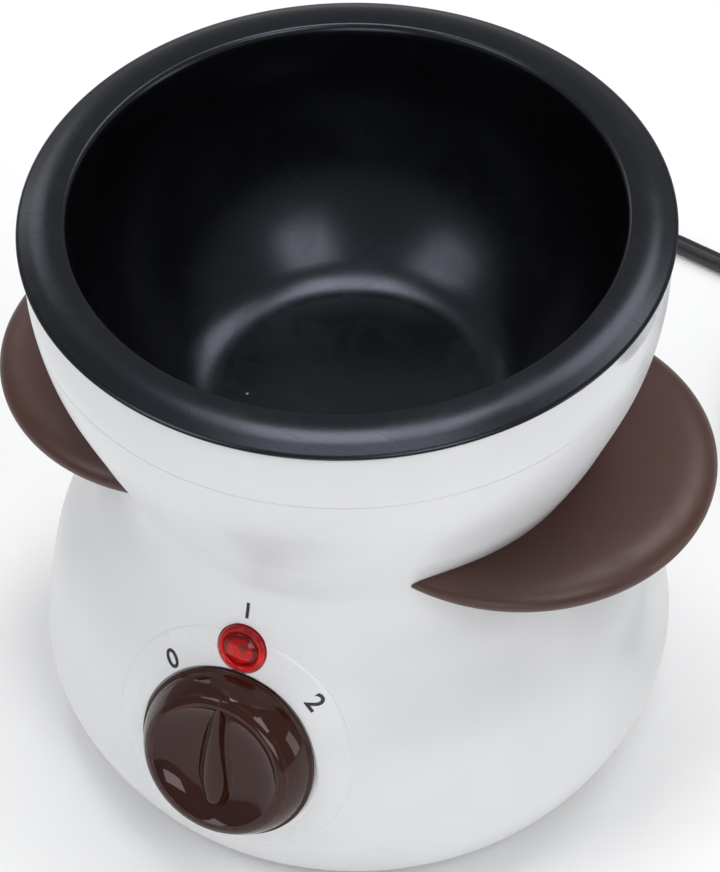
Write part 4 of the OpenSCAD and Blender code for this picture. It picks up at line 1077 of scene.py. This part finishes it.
def gripGrid(look, floor, top):
    # a leaf seen from the front, round at its low end, slim where it meets the rim, half an ellipse across
    leaf = smoothLine(look["leaf"], 10)
    yLow, rLow = leaf[0]
    turn = np.linspace(-math.pi / 2, 0, 24)[:-1]
    y = np.concatenate([yLow + rLow * np.sin(turn), leaf[:, 0]])
    half = np.concatenate([rLow * np.cos(turn), leaf[:, 1]])
    x = np.concatenate([half, -half[::-1]])[None]
    y = np.concatenate([y, y[::-1]])[None]
    low = np.clip(yLow - y, 0, None)
    crown = look["crown"]
    over = np.sin(np.linspace(0, math.pi / 2, 18))[1:]
    rise = np.concatenate([[-look["sunk"]], np.linspace(0, crown, 10), crown + (1 - crown) * over])[:, None]
    foot = look["flare"] * (1 - np.clip(rise, 0, 1)) ** 3
    closed = np.sqrt(1 - np.clip((rise - crown) / (1 - crown), 0, 1) ** 2)
    x = x * closed + np.sign(x) * foot * np.minimum(np.abs(x) / look["flareIn"], 1)
    y = y + low * (1 - closed) - foot * np.minimum(low / rLow, 1)
    x = x - look["lean"] * np.sin(np.clip((y - yLow) / (leaf[-1, 0] - yLow), 0, 1) * math.pi)
    a = math.radians(look["turn"])
    x, y = x * math.cos(a) - y * math.sin(a), x * math.sin(a) + y * math.cos(a)
    return np.stack([x, y, floor + (top - look["down"] - floor) * rise + 0 * x], -1)


def makeKnob(look, grip):
    disc = onDial(spin(knobLine(look), 256))
    ridge = onDial(gripGrid(grip, look["floor"], look["top"]))
    return makePiece("dialKnob", [(disc, True, False), (ridge, False, True)], 42)


lensLook = {"radius": 5.3, "seat": -3.6, "top": -1.6, "dome": -0.9, "domeRound": 1.2, "domeFall": 0.1,
            "button": 3.71, "buttonDown": 0.05, "groove": 0.5, "grooveShape": (0.35, 0.2),
            "ring": (0.45, 0.12), "brow": 0.6, "rounds": (0.25, 0.12, 0.2, 0.4, 0.3, 0.1),
            "skirt": (4.4, 3.5, -11.6), "glass": 1.0}


def makeLens(look, up):
    # spun line: rounded outer ring, a groove, a domed button, and a skirt that goes back through the body
    outer, bore, back = look["skirt"]
    b, g, top, dome, seat = (look[k] for k in ("button", "groove", "top", "dome", "seat"))
    near, far = look["grooveShape"]
    ringIn, ringUp = look["ring"]
    rounds = look["rounds"]
    line = rounded([(0, dome, 0), (b * 0.5, dome - look["domeFall"], look["domeRound"]),
                    (b, top - look["buttonDown"], rounds[0]), (b + g * near, top - g, rounds[1]),
                    (b + g, top - g * far, rounds[2]), (look["radius"] - ringIn, top + ringUp, rounds[3]),
                    (look["radius"], top - look["brow"], rounds[4]), (look["radius"], seat, rounds[5]),
                    (outer, seat, 0), (outer, back, 0), (bore, back, 0), (bore, top - look["glass"], 0.4),
                    (0, top - look["glass"], 0)], 8)
    return makePiece("indicatorLens", [(onDial(spin(line, 96) + [0, up, 0]), True, False)], 40)


finish(makeKnob(knobLook, gripLook), "dial", "knob_brown", "knobBrown", "knob")
lens = makeLens(lensLook, dialLook["lensUp"])
finish(lens, "base", "lens_red", "lensRed", "indicator_lens")
print("knob and lens made")

# Plain numbers round the dial: the figure, its place on the dial, its turn and its height
markLook = {"marks": [("0", (-15.4, 16.9), 40, 4.2), ("1", (0.0, 34.4), 0, 3.8),
                      ("2", (17.2, 17.9), -43, 4.2)],
            "bold": 0.018, "curves": 6, "finer": 2, "thick": 0.05, "rise": 0.02}


def flatFigure(text, look):
    # the figure as a finely divided flat mesh
    curve = bpy.data.curves.new("figure", "FONT")
    curve.body, curve.size, curve.align_x, curve.align_y = text, 1.0, "CENTER", "CENTER"
    curve.resolution_u, curve.offset = look["curves"], look["bold"]
    figure = bpy.data.objects.new("figure", curve)
    bpy.context.scene.collection.objects.link(figure)
    bpy.context.view_layer.update()
    mesh = bpy.data.meshes.new_from_object(figure.evaluated_get(bpy.context.evaluated_depsgraph_get()))
    bpy.data.objects.remove(figure)
    work = bmesh.new()
    work.from_mesh(mesh)
    bmesh.ops.triangulate(work, faces=work.faces)
    for _ in range(look["finer"]):
        bmesh.ops.subdivide_edges(work, edges=work.edges, cuts=1)
    work.to_mesh(mesh)
    work.free()
    return mesh


def makeMark(text, place, turn, tall, look):
    # a figure turned round the dial, each of its points laid on the surface under it
    mesh = flatFigure(text, look)
    p = np.zeros(len(mesh.vertices) * 3, np.float32)
    mesh.vertices.foreach_get("co", p)
    p = p.reshape(-1, 3).astype(float)
    p[:, :2] -= (p[:, :2].min(0) + p[:, :2].max(0)) / 2
    p[:, :2] *= tall / (p[:, 1].max() - p[:, 1].min())
    a = math.radians(turn)
    x = place[0] + p[:, 0] * math.cos(a) - p[:, 1] * math.sin(a)
    y = place[1] + p[:, 0] * math.sin(a) + p[:, 1] * math.cos(a)
    radius, middle = dialLook["panel"]
    onPanel = np.hypot(x, y - middle) < radius - 0.05
    z = faceDepth(x, y) + look["rise"] + np.where(onPanel, dialLook["proud"], 0)
    mesh.vertices.foreach_set("co", (onDial(np.stack([x, y, z], -1)) * mm).astype(np.float32).ravel())
    mesh.update()
    piece = bpy.data.objects.new("dialFigure" + text, mesh)
    bpy.context.scene.collection.objects.link(piece)
    thick = piece.modifiers.new("ink", "SOLIDIFY")
    thick.thickness, thick.offset = look["thick"] * mm, 0
    return piece


for text, place, turn, tall in markLook["marks"]:
    finish(makeMark(text, place, turn, tall, markLook), "base", "panel_white", "dialInk")
print("dial figures made")

# CAD nodes that keep their shape
kept = {"handle_screws": "screwSteel", "knob_shaft": "shaftSteel", "rotary_switch": "switchIvory",
        "switch_screws": "screwSteel", "indicator_lamp": "lampGlow", "lens_clip": "screwSteel",
        "heater_plate": "heaterAluminium", "heating_element": "elementSheath", "heat_shield": "shieldSteel",
        "thermostat": "thermostatBlack", "thermal_fuse": "fuseSleeve", "base_cover": "coverGrey",
        "base_screws": "screwSteel", "rubber_feet": "footRubber", "terminal_block": "switchIvory",
        "cord_clamp": "clampGrey", "inner_lead": "reliefBlack"}
for node, look in kept.items():
    nodes[node].data.materials.clear()
    nodes[node].data.materials.append(finishes[look])

# Floor and light
studioLook = {"floor": (0.985, 0.985, 0.985), "floorHalf": 6, "darker": 0.97, "drift": (3.0, 2.0),
              "sockets": {"Roughness": 0.8, "Specular IOR Level": 0.1},
              "air": (0.96, 0.975, 1.0, 1), "airStrength": 0.36}
# each box: round the pot and above the table in degrees, width and height in metres, radiance
lightLook = {
    "boxRight": (6, 10, 0.32, 0.50, 2.3),
    "boxFrontRight": (-36, 52, 0.38, 0.42, 4.3),
    "boxFront": (-74, 12, 0.50, 0.27, 3.5),
    "boxFrontLeft": (-130, 48, 0.42, 0.46, 3.1),
    "boxBackLeft": (149, 32, 0.34, 0.46, 1.6),
    "boxAbove": (114, 82, 0.54, 0.48, 6.2),
    "boxAboveBack": (66, 52, 0.46, 0.46, 3.7)}
boxPlace = {"distance": 1.15, "waist": 0.08}


def makeFloor(look):
    # a wide level sheet at the table plane, its tone drifting very slightly
    h = look["floorHalf"]
    mesh = bpy.data.meshes.new("studioFloor")
    mesh.from_pydata([(-h, -h, 0), (h, -h, 0), (h, h, 0), (-h, h, 0)], [], [(0, 1, 2, 3)])
    floor = bpy.data.objects.new("studioFloor", mesh)
    bpy.context.scene.collection.objects.link(floor)
    material, tree, shader, where = newMaterial("floorPale")
    pale = tuple(v * look["darker"] for v in look["floor"])
    tone = mixColour(tree, noise(tree, where, *look["drift"]), pale, look["floor"])
    tree.links.new(tone, shader.inputs["Base Color"])
    setSockets(shader, look["sockets"])
    mesh.materials.append(material)


def makeLight(name, around, above, wide, high, radiance, look):
    # a softbox that faces the pot's waist; its power follows from its radiance and its area
    a, e = math.radians(around), math.radians(above)
    place = Vector((math.cos(a) * math.cos(e), math.sin(a) * math.cos(e), math.sin(e))) * look["distance"]
    data = bpy.data.lights.new(name, "AREA")
    data.shape, data.size, data.size_y = "RECTANGLE", wide, high
    data.energy = radiance * math.pi * wide * high
    light = bpy.data.objects.new(name, data)
    bpy.context.scene.collection.objects.link(light)
    light.location = place + Vector((0, 0, look["waist"]))
    light.rotation_euler = (-place).to_track_quat("-Z", "Y").to_euler()


def makeAir(look):
    world = bpy.data.worlds.new("studioAir")
    world.use_nodes = True
    air = world.node_tree.nodes["Background"].inputs
    air["Color"].default_value, air["Strength"].default_value = look["air"], look["airStrength"]
    bpy.context.scene.world = world


makeFloor(studioLook)
for name, row in lightLook.items():
    makeLight(name, *row, boxPlace)
makeAir(studioLook)
bpy.context.scene.view_settings.view_transform = "Standard"
print("studio ready")
